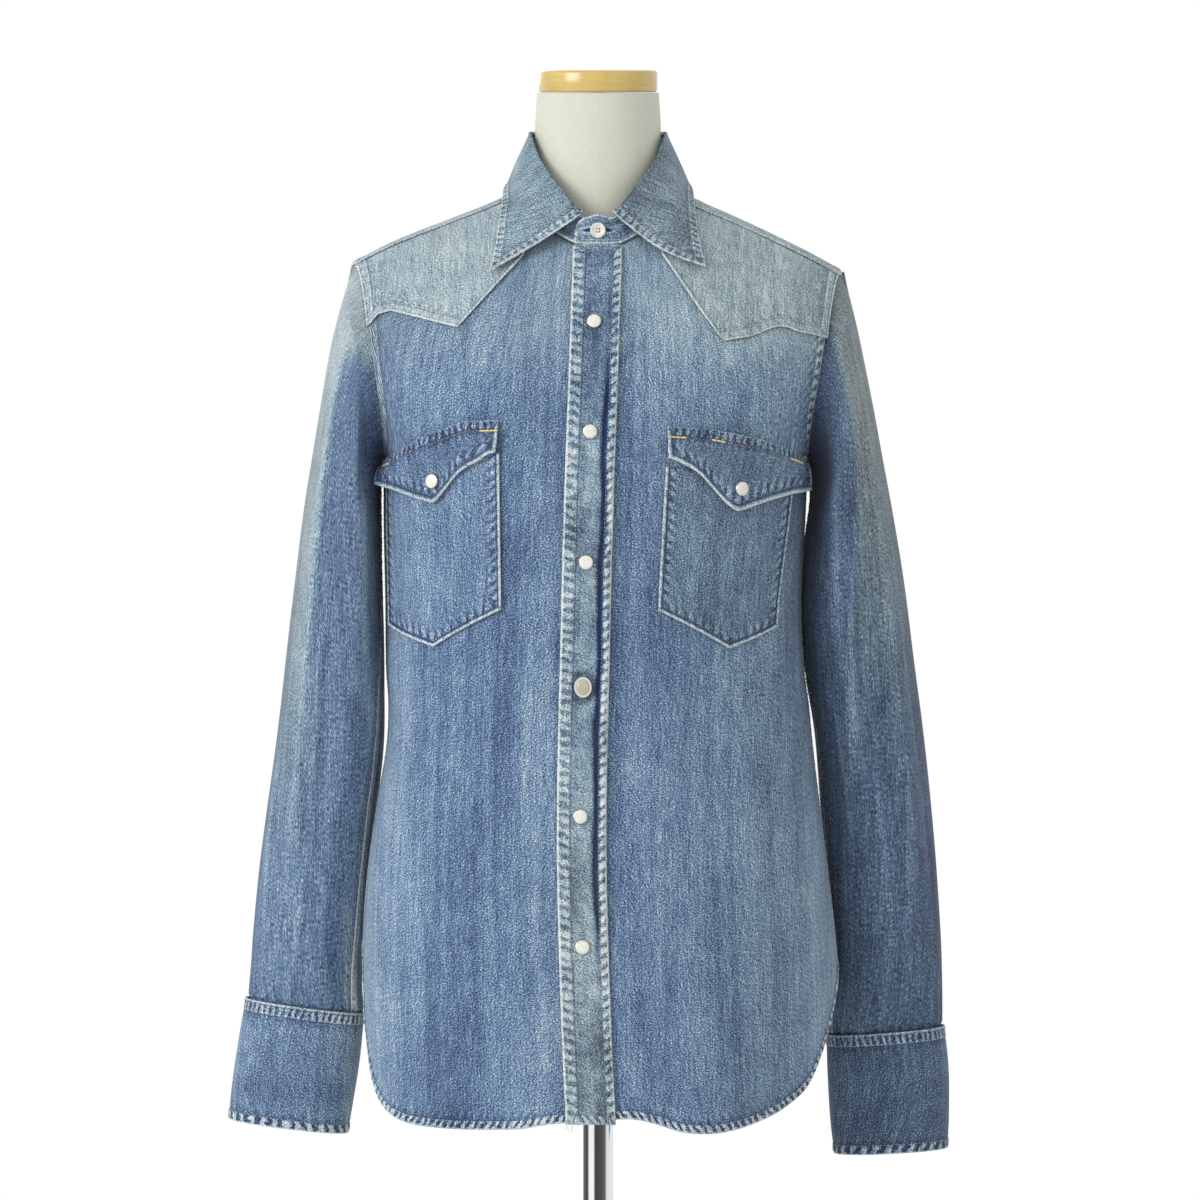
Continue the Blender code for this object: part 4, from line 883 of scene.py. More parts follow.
def bodyFadeAndShading(u, v, point):
    x, y, z = point
    shade = bodyTones["base"] + bodyTones["upper"] * ease((z - 1.17) / 0.12) + 0.06 * grain(point, 0.07)
    shade += 0.04 * bump(x - 0.03 * sideOf(x), 0.08) * bump(z - 0.98, 0.22)
    # lighter low on the wearer's right: partly paler cloth, partly painted light on the lamp's side
    shade += 0.03 * ease((0.90 - z) / 0.12) * (1 if x < 0 else 0)
    # painted light: the sides lighter, the wearer's right one under the arm where the sleeve shades it, the
    # left one low down
    shade += 0.15 * ease((-x - 0.125) / 0.03) * ease((1.18 - z) / 0.06)
    shade += 0.09 * ease((x - 0.140) / 0.02) * ease((0.98 - z) / 0.08)
    shade += 0.05 * bump(abs(x) - 0.045, 0.030) * ease((z - 1.24) / 0.04)
    shade += 0.05 * bump(x - 0.055, 0.035) * bump(z - 1.235, 0.030)
    shade += bodyTones["chest"][sideOf(x)] * ease((z - 1.235) / 0.045) * ease((abs(x) - 0.030) / 0.030)
    shade += 0.06 * bump(x - 0.105, 0.055) * bump(z - 1.262, 0.035)
    if y < 0:
        # soft folds of the fronts: painted shade and highlight, and darker round the pocket flaps
        folded = ease((1.20 - z) / 0.04)
        shade -= 0.10 * folded * bump(x + 0.070 + 0.030 * ease((0.985 - z) / 0.12), 0.017)
        shade += 0.08 * folded * bump(x + 0.043, 0.014) * ease((1.12 - z) / 0.08)
        shade += 0.06 * bump(x - 0.045, 0.014) * bump(z - 1.13, 0.06)
        shade -= 0.12 * bump(x + 0.128, 0.024) * ease((0.80 - z) / 0.06)
        shade -= 0.07 * bump(abs(x) - 0.085, 0.040) * bump(z - 1.185, 0.022)
    return shade + 0.08 * streaks(point, 0.011, 0.05, 0.18)


def bodyDirt(u, v, point):
    return -0.02 + 0.11 * ease(point.x / 0.12) + 0.14 * ease((point.z - 1.225) / 0.06)


def yokeFade(u, v, point):
    shade = bodyTones["yoke"] + 0.07 * grain(point, 0.05)
    return shade + 0.04 * streaks(point, 0.010, 0.05, 0.10)


def yokeDirt(u, v, point):
    return 0.38 + 0.04 * ease(point[0] / 0.06)


def trimFade(u, v, point):
    return 0.56 + 0.07 * grain(point, 0.03)


# fronts
bandSettings = {
    "hem": {"width": 0.0066, "pitch": 0.0060, "rise": 0.0009, "pucker": 0.0005, "skew": 0.6, "wear": 1.2,
            "ticks": 1.7},
    "armhole": {"width": 0.0088, "pitch": 0.0085, "rise": 0.0006, "pucker": 0.0002, "wear": 1.0,
                "ticks": 0.35, "twin": 0.8, "line": 0.6, "cordWidth": 0.0021},
    "side": {"width": 0.0080, "pitch": 0.0085, "rise": 0.0005, "pucker": 0.0002, "wear": 0.9, "ticks": 0.6,
             "twin": 0.5},
    "yoke": {"width": 0.0062, "pitch": 0.0080, "rise": 0.0005, "pucker": 0.0002, "wear": 0.75,
             "cord": 0.0004, "line": 0.5, "ticks": 0.45, "twin": 0.4},
    "yokeEdge": {"width": 0.0024, "pitch": 0.0080, "rise": 0.0005, "pucker": 0.0001, "wear": 0.75,
                 "cord": 0.0004, "cordWidth": 0.0014, "line": 0.9, "halo": 0.2, "ticks": 0.0},
    "pocket": {"width": 0.0031, "pitch": 0.0075, "rise": 0.0006, "pucker": 0.0001, "cord": 0.0006,
               "cordWidth": 0.0022, "line": 1.5, "halo": 2.4, "wear": 1.25, "ticks": 0.5},
    "flap": {"width": 0.0040, "pitch": 0.0075, "rise": 0.0007, "pucker": 0.0001, "cord": 0.0012,
             "cordWidth": 0.0026, "line": 1.0, "halo": 2.4, "haloWidth": 0.0075, "wear": 1.3, "ticks": 0.2},
    "flapTop": {"width": 0.0066, "pitch": 0.0056, "rise": 0.0004, "pucker": 0.0004, "wear": 0.9, "ticks": 1.6,
                "cordWidth": 0.0010},
    "placket": {"width": 0.0096, "pitch": 0.0074, "rise": 0.0003, "pucker": 0.0004, "cord": 0.0005,
                "cordWidth": 0.0021, "wear": 1.2, "halo": 0.4, "skew": 0.3},
    "rope": {"width": 0.0062, "pitch": 0.0076, "rise": 0.0006, "pucker": 0.0009, "cord": 0.0004,
             "cordWidth": 0.0018, "wear": 1.2, "halo": 0.0, "skew": 0.6, "ticks": 1.3},
    "collar": {"width": 0.0074, "pitch": 0.0060, "rise": 0.0004, "pucker": 0.0004, "cord": 0.0005,
               "cordWidth": 0.0019, "skew": 0.3, "wear": 1.15, "halo": 0.5, "line": 0.3, "twin": 1.0},
    "stand": {"width": 0.0042, "pitch": 0.0052, "rise": 0.0003, "pucker": 0.0001, "cord": 0.0005,
              "cordWidth": 0.0021, "line": 0.8, "wear": 1.1, "ticks": 0.3, "twin": 0.6},
    "cuff": {"width": 0.0068, "pitch": 0.0088, "rise": 0.0005, "pucker": 0.0004, "skew": 0.1,
             "cordWidth": 0.0012, "wear": 1.2, "ticks": 2.0},
    "cuffTop": {"width": 0.0090, "pitch": 0.0050, "rise": 0.0003, "pucker": 0.0002, "cord": 0.0003,
                "cordWidth": 0.0017, "line": 1.0, "wear": 1.1, "halo": 0.9, "skew": 0.0, "twin": 0.7,
                "ticks": 1.5},
    "underarm": {"width": 0.0070, "pitch": 0.0085, "rise": 0.0010, "pucker": 0.0002, "cord": 0.0004,
                 "line": 0.7, "wear": 1.5, "ticks": 0.2, "twin": 1.2},
}


def band(kind, edge, **extra):
    return {**bandSettings[kind], "edge": edge, **extra}


def levelZ(level):
    return underarmZ + (level if level < 0 else 0.205 * sin(level * pi / 2))


def frontTop(side, u, firstTurn):
    corner, bend = seamTurn[side], 0.36
    if u < bend:
        across, over = neckPlace(firstTurn + (side * corner - firstTurn) * u / bend)
        return Vector((across, 2 - over))
    start = neckPlace(side * corner)[0]
    level = shoulderSeamLevel[side]
    end = side * armholeAcross(-1, level)
    return Vector((start + (end - start) * (u - bend) / (1 - bend), level))


def bodyWaves(face, point):
    # small drags and unevenness on top of the large folds
    x, z = point[0], point[2]
    waves = 0.0011 * softWaves(point, 0.055, 3.1 * face) + 0.0005 * softWaves(point, 0.024, 7.7)
    drag = 0.0
    if face < 0:
        drag += 0.0016 * bump((x - 0.150) + (1.20 - z) * 0.55, 0.010) * between(z, 1.13, 0.03, 1.215, 0.03)
        drag += 0.0014 * bump((x + 0.148) - (1.20 - z) * 0.45, 0.010) * between(z, 1.14, 0.03, 1.215, 0.03)
        drag -= 0.0010 * bump((x - 0.098) - (z - 1.02) * 0.12, 0.012) * between(z, 0.90, 0.05, 1.06, 0.04)
    else:
        drag += 0.0018 * bump(abs(x) - 0.125 + (z - 1.10) * 0.5, 0.014) * between(z, 1.02, 0.05, 1.20, 0.04)
        drag -= 0.0016 * bump(z - 1.005 - 0.10 * abs(x), 0.012) * bump(x, 0.12)
    return waves + drag


def makeFront(side):
    lower = 0.50

    def edge(level):
        return acrossAt(placketMiddle(levelZ(level)) - side * (placketHalf - 0.0008), level)

    topX = placketMiddle(1.338) - side * (placketHalf - 0.0008)
    firstTurn = -side * asin(abs(topX) / neckHalfWidth) * 180 / pi
    startLevel = frontTop(side, 0, firstTurn)[1]
    shoulder = shoulderSeamLevel[side]

    def spot(u, v):
        if v <= lower:
            guess = edge(-0.45) + (side * 0.9995 - edge(-0.45)) * u
            level = hemLevel(guess) * (1 - v / lower)
            return Vector((edge(level) + (side * 0.9995 - edge(level)) * u, level))
        return patch(
            lambda s: Vector((edge(0) + (side * 0.9995 - edge(0)) * s, 0)),
            lambda s: frontTop(side, s, firstTurn),
            lambda t: Vector((edge(t * startLevel), t * startLevel)),
            lambda t: Vector((side * armholeAcross(-1, t * shoulder), t * shoulder)),
            u, (v - lower) / (1 - lower))

    def place(u, v):
        return bodyPoint(-1, *spot(u, v))

    def lift(u, v, point):
        out = bodyWaves(-1, point) * ease(u / 0.2) * ease((1 - u) / 0.06) * ease((1 - v) / 0.06)
        if side < 0:                       # the wearer's right front passes under the left one
            out -= 0.0020 * ease((point.x - placketMiddle(point.z) + 0.055) / 0.030)
        return out

    bands = [band("hem", "low"), band("side", "right", end=lower),
             band("armhole", "right", start=lower, ticks=1.6, halo=1.4, twin=0.4)]
    return clothPiece("front_" + sideNames[side], "denimBody",
                      steps((0.95, 84), (1.0, 8)), steps((0.012, 8), (0.5, 108), (1.0, 60)),
                      place, lift, bodyFadeAndShading, bodyDirt, bands, flip=side < 0,
                      uvStart=(0.0, 0.0 if side > 0 else 3.0))


def makeBack():
    lower = 0.62

    def place(u, v):
        sign = 2 * u - 1
        if v <= lower:
            return bodyPoint(1, sign * 0.9995, hemLevel(sign) * (1 - v / lower))
        level = (v - lower) / (1 - lower) * (backYokeLevel(sign) + 0.012)
        return bodyPoint(1, sign * armholeAcross(1, level), level)

    def lift(u, v, point):
        edge = ease(min(u, 1 - u) / 0.04)
        return bodyWaves(1, point) * edge * ease((1 - v) / 0.05) - 0.0018 * ease((v - 0.972) / 0.018)

    bands = [band("hem", "low"), band("side", "left", end=lower), band("side", "right", end=lower),
             band("armhole", "left", start=lower), band("armhole", "right", start=lower)]
    return clothPiece("back", "denimBody",
                      steps((0.03, 8), (0.97, 128), (1.0, 8)), steps((0.015, 8), (0.97, 130), (1.0, 8)),
                      place, lift, bodyFadeAndShading, bodyDirt, bands, flip=True, middle=0.5, uvStart=(0.0, 6.0))


def backYokeTop(u):
    sign = 1 if u > 0.5 else -1
    out, bend = abs(2 * u - 1), 0.55
    corner = seamTurn[sign]
    if out < bend:
        return neckPlace(sign * (180 - (180 - corner) * out / bend))
    start = neckPlace(sign * corner)[0]
    level = shoulderSeamLevel[sign] - 0.016      # laps over the front yoke
    end = sign * armholeAcross(-1, level)
    return Vector((start + (end - start) * (out - bend) / (1 - bend), 2 - level))


def makeBackYoke():
    def low(u):
        sign = 2 * u - 1
        level = backYokeLevel(sign)
        return Vector((sign * armholeAcross(1, level), level))

    def side(sign):
        start, end = backYokeLevel(1), 2 - shoulderSeamLevel[sign] + 0.016
        return lambda v: armholePlace(sign, start + (end - start) * v)

    def place(u, v):
        across, over = patch(low, backYokeTop, side(-1), side(1), u, v)
        return overPoint(across, over)

    def lift(u, v, point):
        out = abs(2 * u - 1)
        waves = 0.0006 * softWaves(point, 0.05, 4.4) * ease(min(u, 1 - u, v, 1 - v) / 0.08)
        seat = 0.0028 * ease((v - 0.80) / 0.12) * ease((out - 0.45) / 0.12)
        return waves + seat + 0.0004

    bands = [band("yoke", "low", width=0.0075), band("armhole", "left"), band("armhole", "right"),
             *[band("yoke", "top", width=0.0065, wear=0.45, line=0.2, twin=0.8, **part)
               for part in ({"end": 0.22}, {"start": 0.78})]]
    return clothPiece("yoke_back", "denimYoke",
                      steps((0.03, 8), (0.97, 130), (1.0, 8)), steps((0.06, 7), (0.93, 42), (1.0, 8)),
                      place, lift, yokeFade, yokeDirt, bands, flip=True, middle=0.5, uvStart=(0.0, 9.0))


def makeFrontYoke(side):
    edges = yokeEdges[side]

    def low(u):
        across, level = frontPlace(side * along(edges["lower"], u)[0], along(edges["lower"], u)[1])
        if u > 0.98:
            across = side * armholeAcross(-1, level)
        return Vector((across, level))

    def inner(v):
        x, z = along(edges["diagonal"], 1 - v)
        return frontPlace(side * x, z)

    startX = edges["diagonal"][0][0]
    startTurn = asin(startX / neckHalfWidth) * 180 / pi
    start = frontPlace(side * startX, edges["diagonal"][0][1])

    def top(u):
        corner, bend = seamTurn[side], 0.25
        level = shoulderSeamLevel[side] - 0.004
        if u < bend:
            across, over = neckPlace(side * (startTurn + (corner - 1.0 - startTurn) * u / bend))
            spot = Vector((across + side * 0.012, 2 - over))
            return start.lerp(spot, ease(4 * u / bend)) if u / bend < 0.25 else spot
        first = neckPlace(side * (corner - 1.0))[0] + side * 0.012
        end = side * armholeAcross(-1, level)
        return Vector((first + (end - first) * (u - bend) / (1 - bend), level))

    def outer(v):
        level = low(1)[1] + (top(1)[1] - low(1)[1]) * v
        return Vector((side * armholeAcross(-1, level), level))

    def place(u, v):
        return bodyPoint(-1, *patch(low, top, inner, outer, u, v))

    def lift(u, v, point):
        return 0.0021 + 0.0005 * softWaves(point, 0.04, 5.5) * ease(min(u, v, 1 - u) / 0.1)

    bands = [band("yoke", "low", slant=0.97), band("yokeEdge", "left", slant=0.80), band("armhole", "right")]
    return clothPiece("yoke_" + sideNames[side], "denimYoke",
                      steps((0.08, 8), (0.92, 52), (1.0, 8)), steps((0.10, 8), (1.0, 36)),
                      place, lift, yokeFade, yokeDirt, bands, flip=side < 0, plumb=True,
                      uvStart=(0.0, 12.0 + side))


# what is sewn on the fronts
placketTop = 1.3375
snapHeights = [1.2800, 1.2010, 1.1073, 1.0173, 0.9238, 0.8302]


def makePlacket():
    def place(u, v):
        z = tailZ + (placketTop - tailZ) * v
        level = frontPlace(0.0, z)[1]
        x = placketMiddle(z) + (2 * u - 1) * placketHalf
        return bodyPoint(-1, acrossAt(x, level), level)

    def welt(point):
        return between(point[2], 0.81, 0.05, 1.262, 0.04)

    def wander(point):
        return 0.022 * sin(point[2] * 62) + 0.035 * grain(point, 0.014)

    def lift(u, v, point):
        # the stitched margin on the wearer's left folds up as a rope beside a groove
        aside = u - wander(point)
        rope = 0.0030 * bump(aside - 0.915, 0.070) - 0.0018 * bump(aside - 0.775, 0.050)
        quilt = 0.00045 * grain(point, 0.006, 2.0) + 0.0008 * grain(point, 0.018, 5.0)
        return 0.0024 + welt(point) * rope + quilt

    def fadeAndPaintedShading(u, v, point):
        shade = trimFade(u, v, point) + 0.09 * grain(point, 0.008, 9.0)
        shade -= 0.75 * welt(point) * bump(u - 0.785 - wander(point), 0.050)
        shade += 0.12 * welt(point) * bump(u - 0.90 - wander(point), 0.050)
        # painted shadow round the fourth snap
        aside = (point.x - placketMiddle(point.z) + 0.0008) / 0.0078
        shade -= 0.45 * bump(sqrt(aside ** 2 + ((point.z - snapHeights[3]) / 0.0102) ** 2) - 1.0, 0.28)
        high = ease((point.z - 1.24) / 0.04)
        shade -= 0.06 + 0.10 * ease((0.79 - point.z) / 0.03) * ease((u - 0.55) / 0.1)
        return shade - (0.10 + 0.12 * grain(point, 0.012, 4.0)) * high * bump(u - 0.55, 0.32)

    def dirt(u, v, point):
        # greyer downwards, bluer in the groove
        low = 0.12 * ease((1.24 - point.z) / 0.1) + 0.12 * ease((0.97 - point.z) / 0.1)
        return 0.12 + low - 0.45 * welt(point) * bump(u - 0.785, 0.06)

    bands = [band("placket", "left"), band("rope", "right"),
             band("hem", "low", wear=0.8), band("stand", "top", wear=0.5)]
    return clothPiece("placket", "denimTrim", steps((1.0, 30)), steps((1.0, 360)),
                      place, lift, fadeAndPaintedShading, dirt, bands, wall=0.0014, uvStart=(0.0, 15.0))


def sewnPlace(outline, side):
    def spots(line):
        return [frontPlace(side * x, z) for x, z in line]

    top, low = spots(outline["top"]), spots(outline["lower"])

    def place(u, v):
        return bodyPoint(-1, *along(low, u).lerp(along(top, u), v))

    return place


def pocketFadeAndShade(u, v, point):
    shade = 0.465 + 0.05 * grain(point, 0.02, 1.0) + 0.03 * grain(point, 0.008, 3.0)
    # the wearer's left pocket is darker: darker cloth, and partly painted shade on the side away from the
    # lamp
    shade -= 0.11 if point[0] > 0 else 0.0
    return shade + 0.05 * bump(u - 0.5, 0.25) * bump(v - 0.45, 0.3)


def makePocket(side):
    def lift(u, v, point):
        return 0.0020 + 0.0005 * grain(point, 0.022, 6.0) * ease(min(u, 1 - u, v) / 0.1)

    bands = [band("pocket", "left"), band("pocket", "right"), band("pocket", "low", slant=0.88)]
    return clothPiece("pocket_" + sideNames[side], "denimBody",
                      steps((0.05, 5), (0.95, 52), (1.0, 5)), steps((0.06, 7), (1.0, 66)),
                      sewnPlace(pocketOutlines[side], side), lift, pocketFadeAndShade, 0.06 + 0.08 * side, bands,
                      flip=False, uvStart=(0.0, 17.0 + side))


def makeFlap(side):
    def slot(u, v):
        # the opening for a pen in the top edge of the wearer's left flap
        return bump(u - 0.160, 0.050) * ease((v - 0.74) / 0.08) if side > 0 else 0.0

    def lift(u, v, point):
        over = 0.0024 * ease((1 - v) / 0.45) + 0.0011 * slot(u, v)
        if side < 0:
            over += 0.0050 * bump(u, 0.14) * ease((1 - v) / 0.8)
        else:
            over += 0.0010 * bump(1 - u, 0.2) * ease(1 - v)
        return 0.0025 + over + 0.0004 * grain(point, 0.014, 8.0)

    def fadeAndPaintedShading(u, v, point):
        shade = 0.380 + 0.10 * grain(point, 0.014, 2.0) - 0.12 * ease((v - 0.50) / 0.2)
        # the pen slot is darker: painted shade in its opening
        return shade + 0.05 * ease((0.35 - v) / 0.3) - 0.16 * slot(u, v)

    bands = [band("flap", "low", slant=0.86), band("flap", "left"), band("flap", "right"),
             band("flapTop", "top")]
    return clothPiece("flap_" + sideNames[side], "denimBody",
                      steps((0.05, 5), (0.95, 58), (1.0, 5)), steps((0.12, 6), (0.82, 16), (1.0, 8)),
                      sewnPlace(flapOutlines[side], side), lift, fadeAndPaintedShading, 0.06 + 0.06 * side, bands, wall=0.0015,
                      uvStart=(0.0, 20.0 + side))


# sleeves and cuffs
def armholePoint(side, turn, row):
    # the sleeve starts under the body's edge; a row below 0 lies further in under the cloth
    face = -1 if sin(radians(turn)) > 0 else 1
    rise = (1 + cos(radians(turn))) / 2
    level = asin(min(rise, 1.0) ** (roundness[face] / 2)) * 2 / pi
    return bodySkin(face, side * (armholeAcross(face, level) + 0.25 * row), level, -0.0021)


def sectionPoint(side, section, turn, power=2.15):
    c, s = cos(radians(turn)), sin(radians(turn))
    wide = sideOf(c) * abs(c) ** (2 / power)
    deep = sideOf(s) * abs(s) ** (2 / power)
    out = Vector((side * section.outer, 0, section.outerZ))
    inn = Vector((side * section.inner, 0, section.innerZ))
    middle = (out + inn) / 2 + Vector((0, section.back, 0))
    return middle + (out - inn) / 2 * wide - Vector((0, section.depth, 0)) * deep


def mixedSection(rows, row):
    i = min(int(row), len(rows) - 2)
    f = row - i
    values = []
    for column in Section._fields:
        p = [getattr(rows[min(max(k, 0), len(rows) - 1)], column) for k in range(i - 1, i + 3)]
        values.append(0.5 * (2 * p[1] + (p[2] - p[0]) * f
                             + (2 * p[0] - 5 * p[1] + 4 * p[2] - p[3]) * f * f
                             + (3 * p[1] - p[0] - 3 * p[2] + p[3]) * f ** 3))
    return Section(*values)


def creasePlace(crease, row, turn):
    # how far down a crease a row is, and the degrees beside it
    f = (row - crease.rowTop) / (crease.rowLow - crease.rowTop)
    return f, wrapped(turn - (crease.turnTop + (crease.turnLow - crease.turnTop) * f))


def sleevePoint(side, row, turn):
    # row 0 is the armhole's edge, and row 1 on are the table's sections
    rows = sleeveRows[side]
    if row < 1:
        start = armholePoint(side, turn, min(row, 0.0))
        if row < 0:
            return start
        first = sectionPoint(side, rows[0], turn)
        ahead = sectionPoint(side, mixedSection(rows, 0.4), turn) - first
        bent = start + (first - start) * row
        return bent + (ahead.normalized() * 0.004 - (first - start) * 0.25) * (row * row * (row - 1))
    section = mixedSection(rows, row - 1)
    point = sectionPoint(side, section, turn)
    centre = (sectionPoint(side, section, 0) + sectionPoint(side, section, 180)) / 2
    radial = point - centre
    radial.z = 0
    radial.normalize()
    for crease in creases[side]:
        f, apart = creasePlace(crease, row, turn)
        point += radial * crease.rise * ease(3 * f) * ease(3 - 3 * f) * bump(apart, crease.width)
    return point


# small creases of the sleeves: where they start and end, as (turn, row), width and rise
SmallCrease = namedtuple("SmallCrease", "turnTop turnLow rowTop rowLow width rise")
smallCreases = {
    -1: [SmallCrease(58, 64, 0.6, 9, 6, 0.0022), SmallCrease(74, 82, 7, 10.5, 5, 0.0013),
         SmallCrease(96, 108, 1.2, 5.5, 9, 0.0020), SmallCrease(122, 128, 0.6, 5.0, 17, -0.0046),
         SmallCrease(104, 110, 6, 9, 7, -0.0014), SmallCrease(30, 38, 9, 12, 6, 0.0014),
         SmallCrease(140, 128, 8, 11, 7, 0.0014), SmallCrease(84, 80, 10, 13.4, 6, 0.0016),
         SmallCrease(-30, -40, 6, 10, 8, 0.0014), SmallCrease(-90, -84, 8, 12, 6, 0.0016),
         SmallCrease(-140, -110, 1.8, 4.2, 9, 0.0020)],
    1: [SmallCrease(74, 83, 0.3, 7.5, 7, 0.0026), SmallCrease(84, 121, 5.5, 10.5, 7, 0.0024),
        SmallCrease(132, 128, 0.6, 5.0, 17, -0.0044), SmallCrease(54, 58, 5, 8, 6, 0.0013),
        SmallCrease(66, 70, 10, 13.2, 5, 0.0018), SmallCrease(128, 118, 8, 11, 7, 0.0015),
        SmallCrease(34, 30, 8, 12, 6, -0.0013), SmallCrease(92, 88, 9, 12, 6, 0.0014),
        SmallCrease(-34, -44, 6, 10, 8, 0.0014), SmallCrease(-92, -84, 9, 12, 6, 0.0016),
        SmallCrease(-140, -108, 1.8, 4.4, 9, 0.0020)],
}


FadeEdge = namedtuple("FadeEdge", "row turn")
# base is darker on the wearer's left sleeve: darker cloth, and partly painted shade on the side away from the
# lamp. rim is painted shade along the outer edge, inner is painted light low on the inner side
sleeveFadeAndShading = {
    -1: {"base": 0.425, "outer": 0.22, "reach": 8.0, "dirt": 0.02, "outerDirt": 0.46, "rim": 0.11,
         "inner": 0.28, "edge": [FadeEdge(0, 92), FadeEdge(0.7, 84), FadeEdge(1.5, 70), FadeEdge(3, 62),
                                 FadeEdge(8, 62), FadeEdge(10, 72), FadeEdge(14, 76)]},
    1: {"base": 0.235, "outer": 0.12, "reach": 11.0, "dirt": 0.10, "outerDirt": 0.54, "rim": 0.16,
        "inner": 0.06, "edge": [FadeEdge(0, 58), FadeEdge(0.8, 76), FadeEdge(3, 80), FadeEdge(6, 82),
                                FadeEdge(7.5, 95), FadeEdge(9.5, 119), FadeEdge(14, 124)]},
}
fadeEdge = {side: curve(sleeveFadeAndShading[side]["edge"], "row", "turn") for side in (-1, 1)}
underarmTurn = {-1: 0.072, 1: 0.030}


def underarmAt(side):
    # the felled seam under the arm swings to the front further down
    return lambda v: 0.5 - underarmTurn[side] * ease((v - 0.38) / 0.28)


def wornSide(side, row, turn, further=0.0):
    # 1 on the grey, worn outside of a sleeve and 0 beyond its long crease
    front = ease((fadeEdge[side](row) + 12 - turn) / 25)
    return front * ease((turn + 150) / 60) * ease((sleeveFadeAndShading[side]["reach"] + further - row) / 6.5)


def makeSleeve(side):
    last = len(sleeveRows[side])

    def rowOf(v):
        return v * (last + 0.25) - 0.1

    def place(u, v):
        row = rowOf(v)
        point = sleevePoint(side, min(row, last), 360 * u)
        if row > last:
            down = sleevePoint(side, last, 360 * u) - sleevePoint(side, last - 0.5, 360 * u)
            point += down.normalized() * 0.0035 * (row - last) / 0.15
        return point

    def lift(u, v, point):
        row, turn = rowOf(v), 360 * u
        out = 0.0012 * softWaves(point, 0.045, 1.7 * side) * ease(row / 2) * ease((last - row) / 1.5)
        for crease in smallCreases[side]:
            f, apart = creasePlace(crease, row, turn)
            if 0 < f < 1:
                out += crease.rise * ease(3 * f) * ease(3 - 3 * f) * bump(apart, crease.width)
        out -= 0.0016 * ease((row - last + 0.10) / 0.15)   # tucked into the cuff
        # gathers above the cuff
        gather = bump(row - last, 0.8) * ease((last - row) / 0.12 + 0.3)
        out += 0.0007 * gather * sin(turn * radians(1) * 26 + 2 * sin(turn * radians(3)))
        return out

    def fadeAndPaintedShading(u, v, point):
        # painted shadow in the hollow in front of the armpit, painted shade along the outer edge, and painted
        # light low on the inner side
        turn = wrapped(360 * u)
        row = rowOf(v)
        shade = sleeveFadeAndShading[side]["base"] + 0.05 * grain(point, 0.05)
        shade += sleeveFadeAndShading[side]["outer"] * wornSide(side, row, turn)
        shade += 0.05 * noise.noise(Vector((turn / 9, point[1] / 0.2, point[2] / 0.13)))
        # painted highlight, and wear, along the ridge of each raised crease
        for crease in smallCreases[side] + creases[side]:
            f, apart = creasePlace(crease, row, 360 * u)
            if 0 < f < 1 and crease.rise > 0:
                shade += 0.12 * ease(4 * f) * ease(4 - 4 * f) * bump(apart, crease.width * 0.40)
        # painted shadow in the armpit hollow, deeper at the inner edge; painted light lower on the inner side
        # of the wearer's right sleeve
        shade -= (0.39 + 0.10 * side) * bump(360 * u - 148, 32) * between(row, 0, 0.6, 5.5 + side, 3)
        shade -= 0.22 * bump(360 * u - 170, 20) * between(row, 1.5, 1, 5.2, 1)
        shade += (0.10 if side < 0 else 0.0) * bump(360 * u - 140, 30) * between(row, 4, 2, 10, 2)
        # painted shade along the outer edge, and painted light low on the inner side
        shade -= sleeveFadeAndShading[side]["rim"] * ease((42 - abs(turn)) / 34) * ease((row - 2.8) / 1.8)
        return shade + sleeveFadeAndShading[side]["inner"] * ease((turn - 118) / 30) * ease((row - 7) / 4)

    def dirt(u, v, point):
        worn = wornSide(side, rowOf(v), wrapped(360 * u), 1.5 - 2.5 * side)
        return sleeveFadeAndShading[side]["dirt"] + sleeveFadeAndShading[side]["outerDirt"] * worn

    bands = [band("underarm", "column", at=underarmAt(side), way=-1),
             band("cuffTop", "low", width=0.004, wear=0.35),
             band("armhole", "top", width=0.003, wear=0.3, rise=0.0)]
    return clothPiece("sleeve_" + sideNames[side], "denimBody",
                      steps((0.38, 58), (0.56, 46), (1.0, 56)),
                      steps((0.007, 2), (0.03, 7), (0.15, 22), (1.0, 128)),
                      place, lift, fadeAndPaintedShading, dirt, bands, around=True, flip=side < 0,
                      uvStart=(0.0, 23.0 + side))


cuffStart = -125.0
cuffLap = 24.0


def cuffPoint(side, f, turnOn, thick):
    rows = cuffRows[side]
    section = mixedSection(rows, f * (len(rows) - 1))
    point = sectionPoint(side, section, cuffStart + turnOn, power=2.3)
    centre = (sectionPoint(side, section, 0) + sectionPoint(side, section, 180)) / 2
    radial = (point - centre).normalized()
    return point + radial * (0.0010 - thick - ease((turnOn - 270) / 90) * 0.0024)


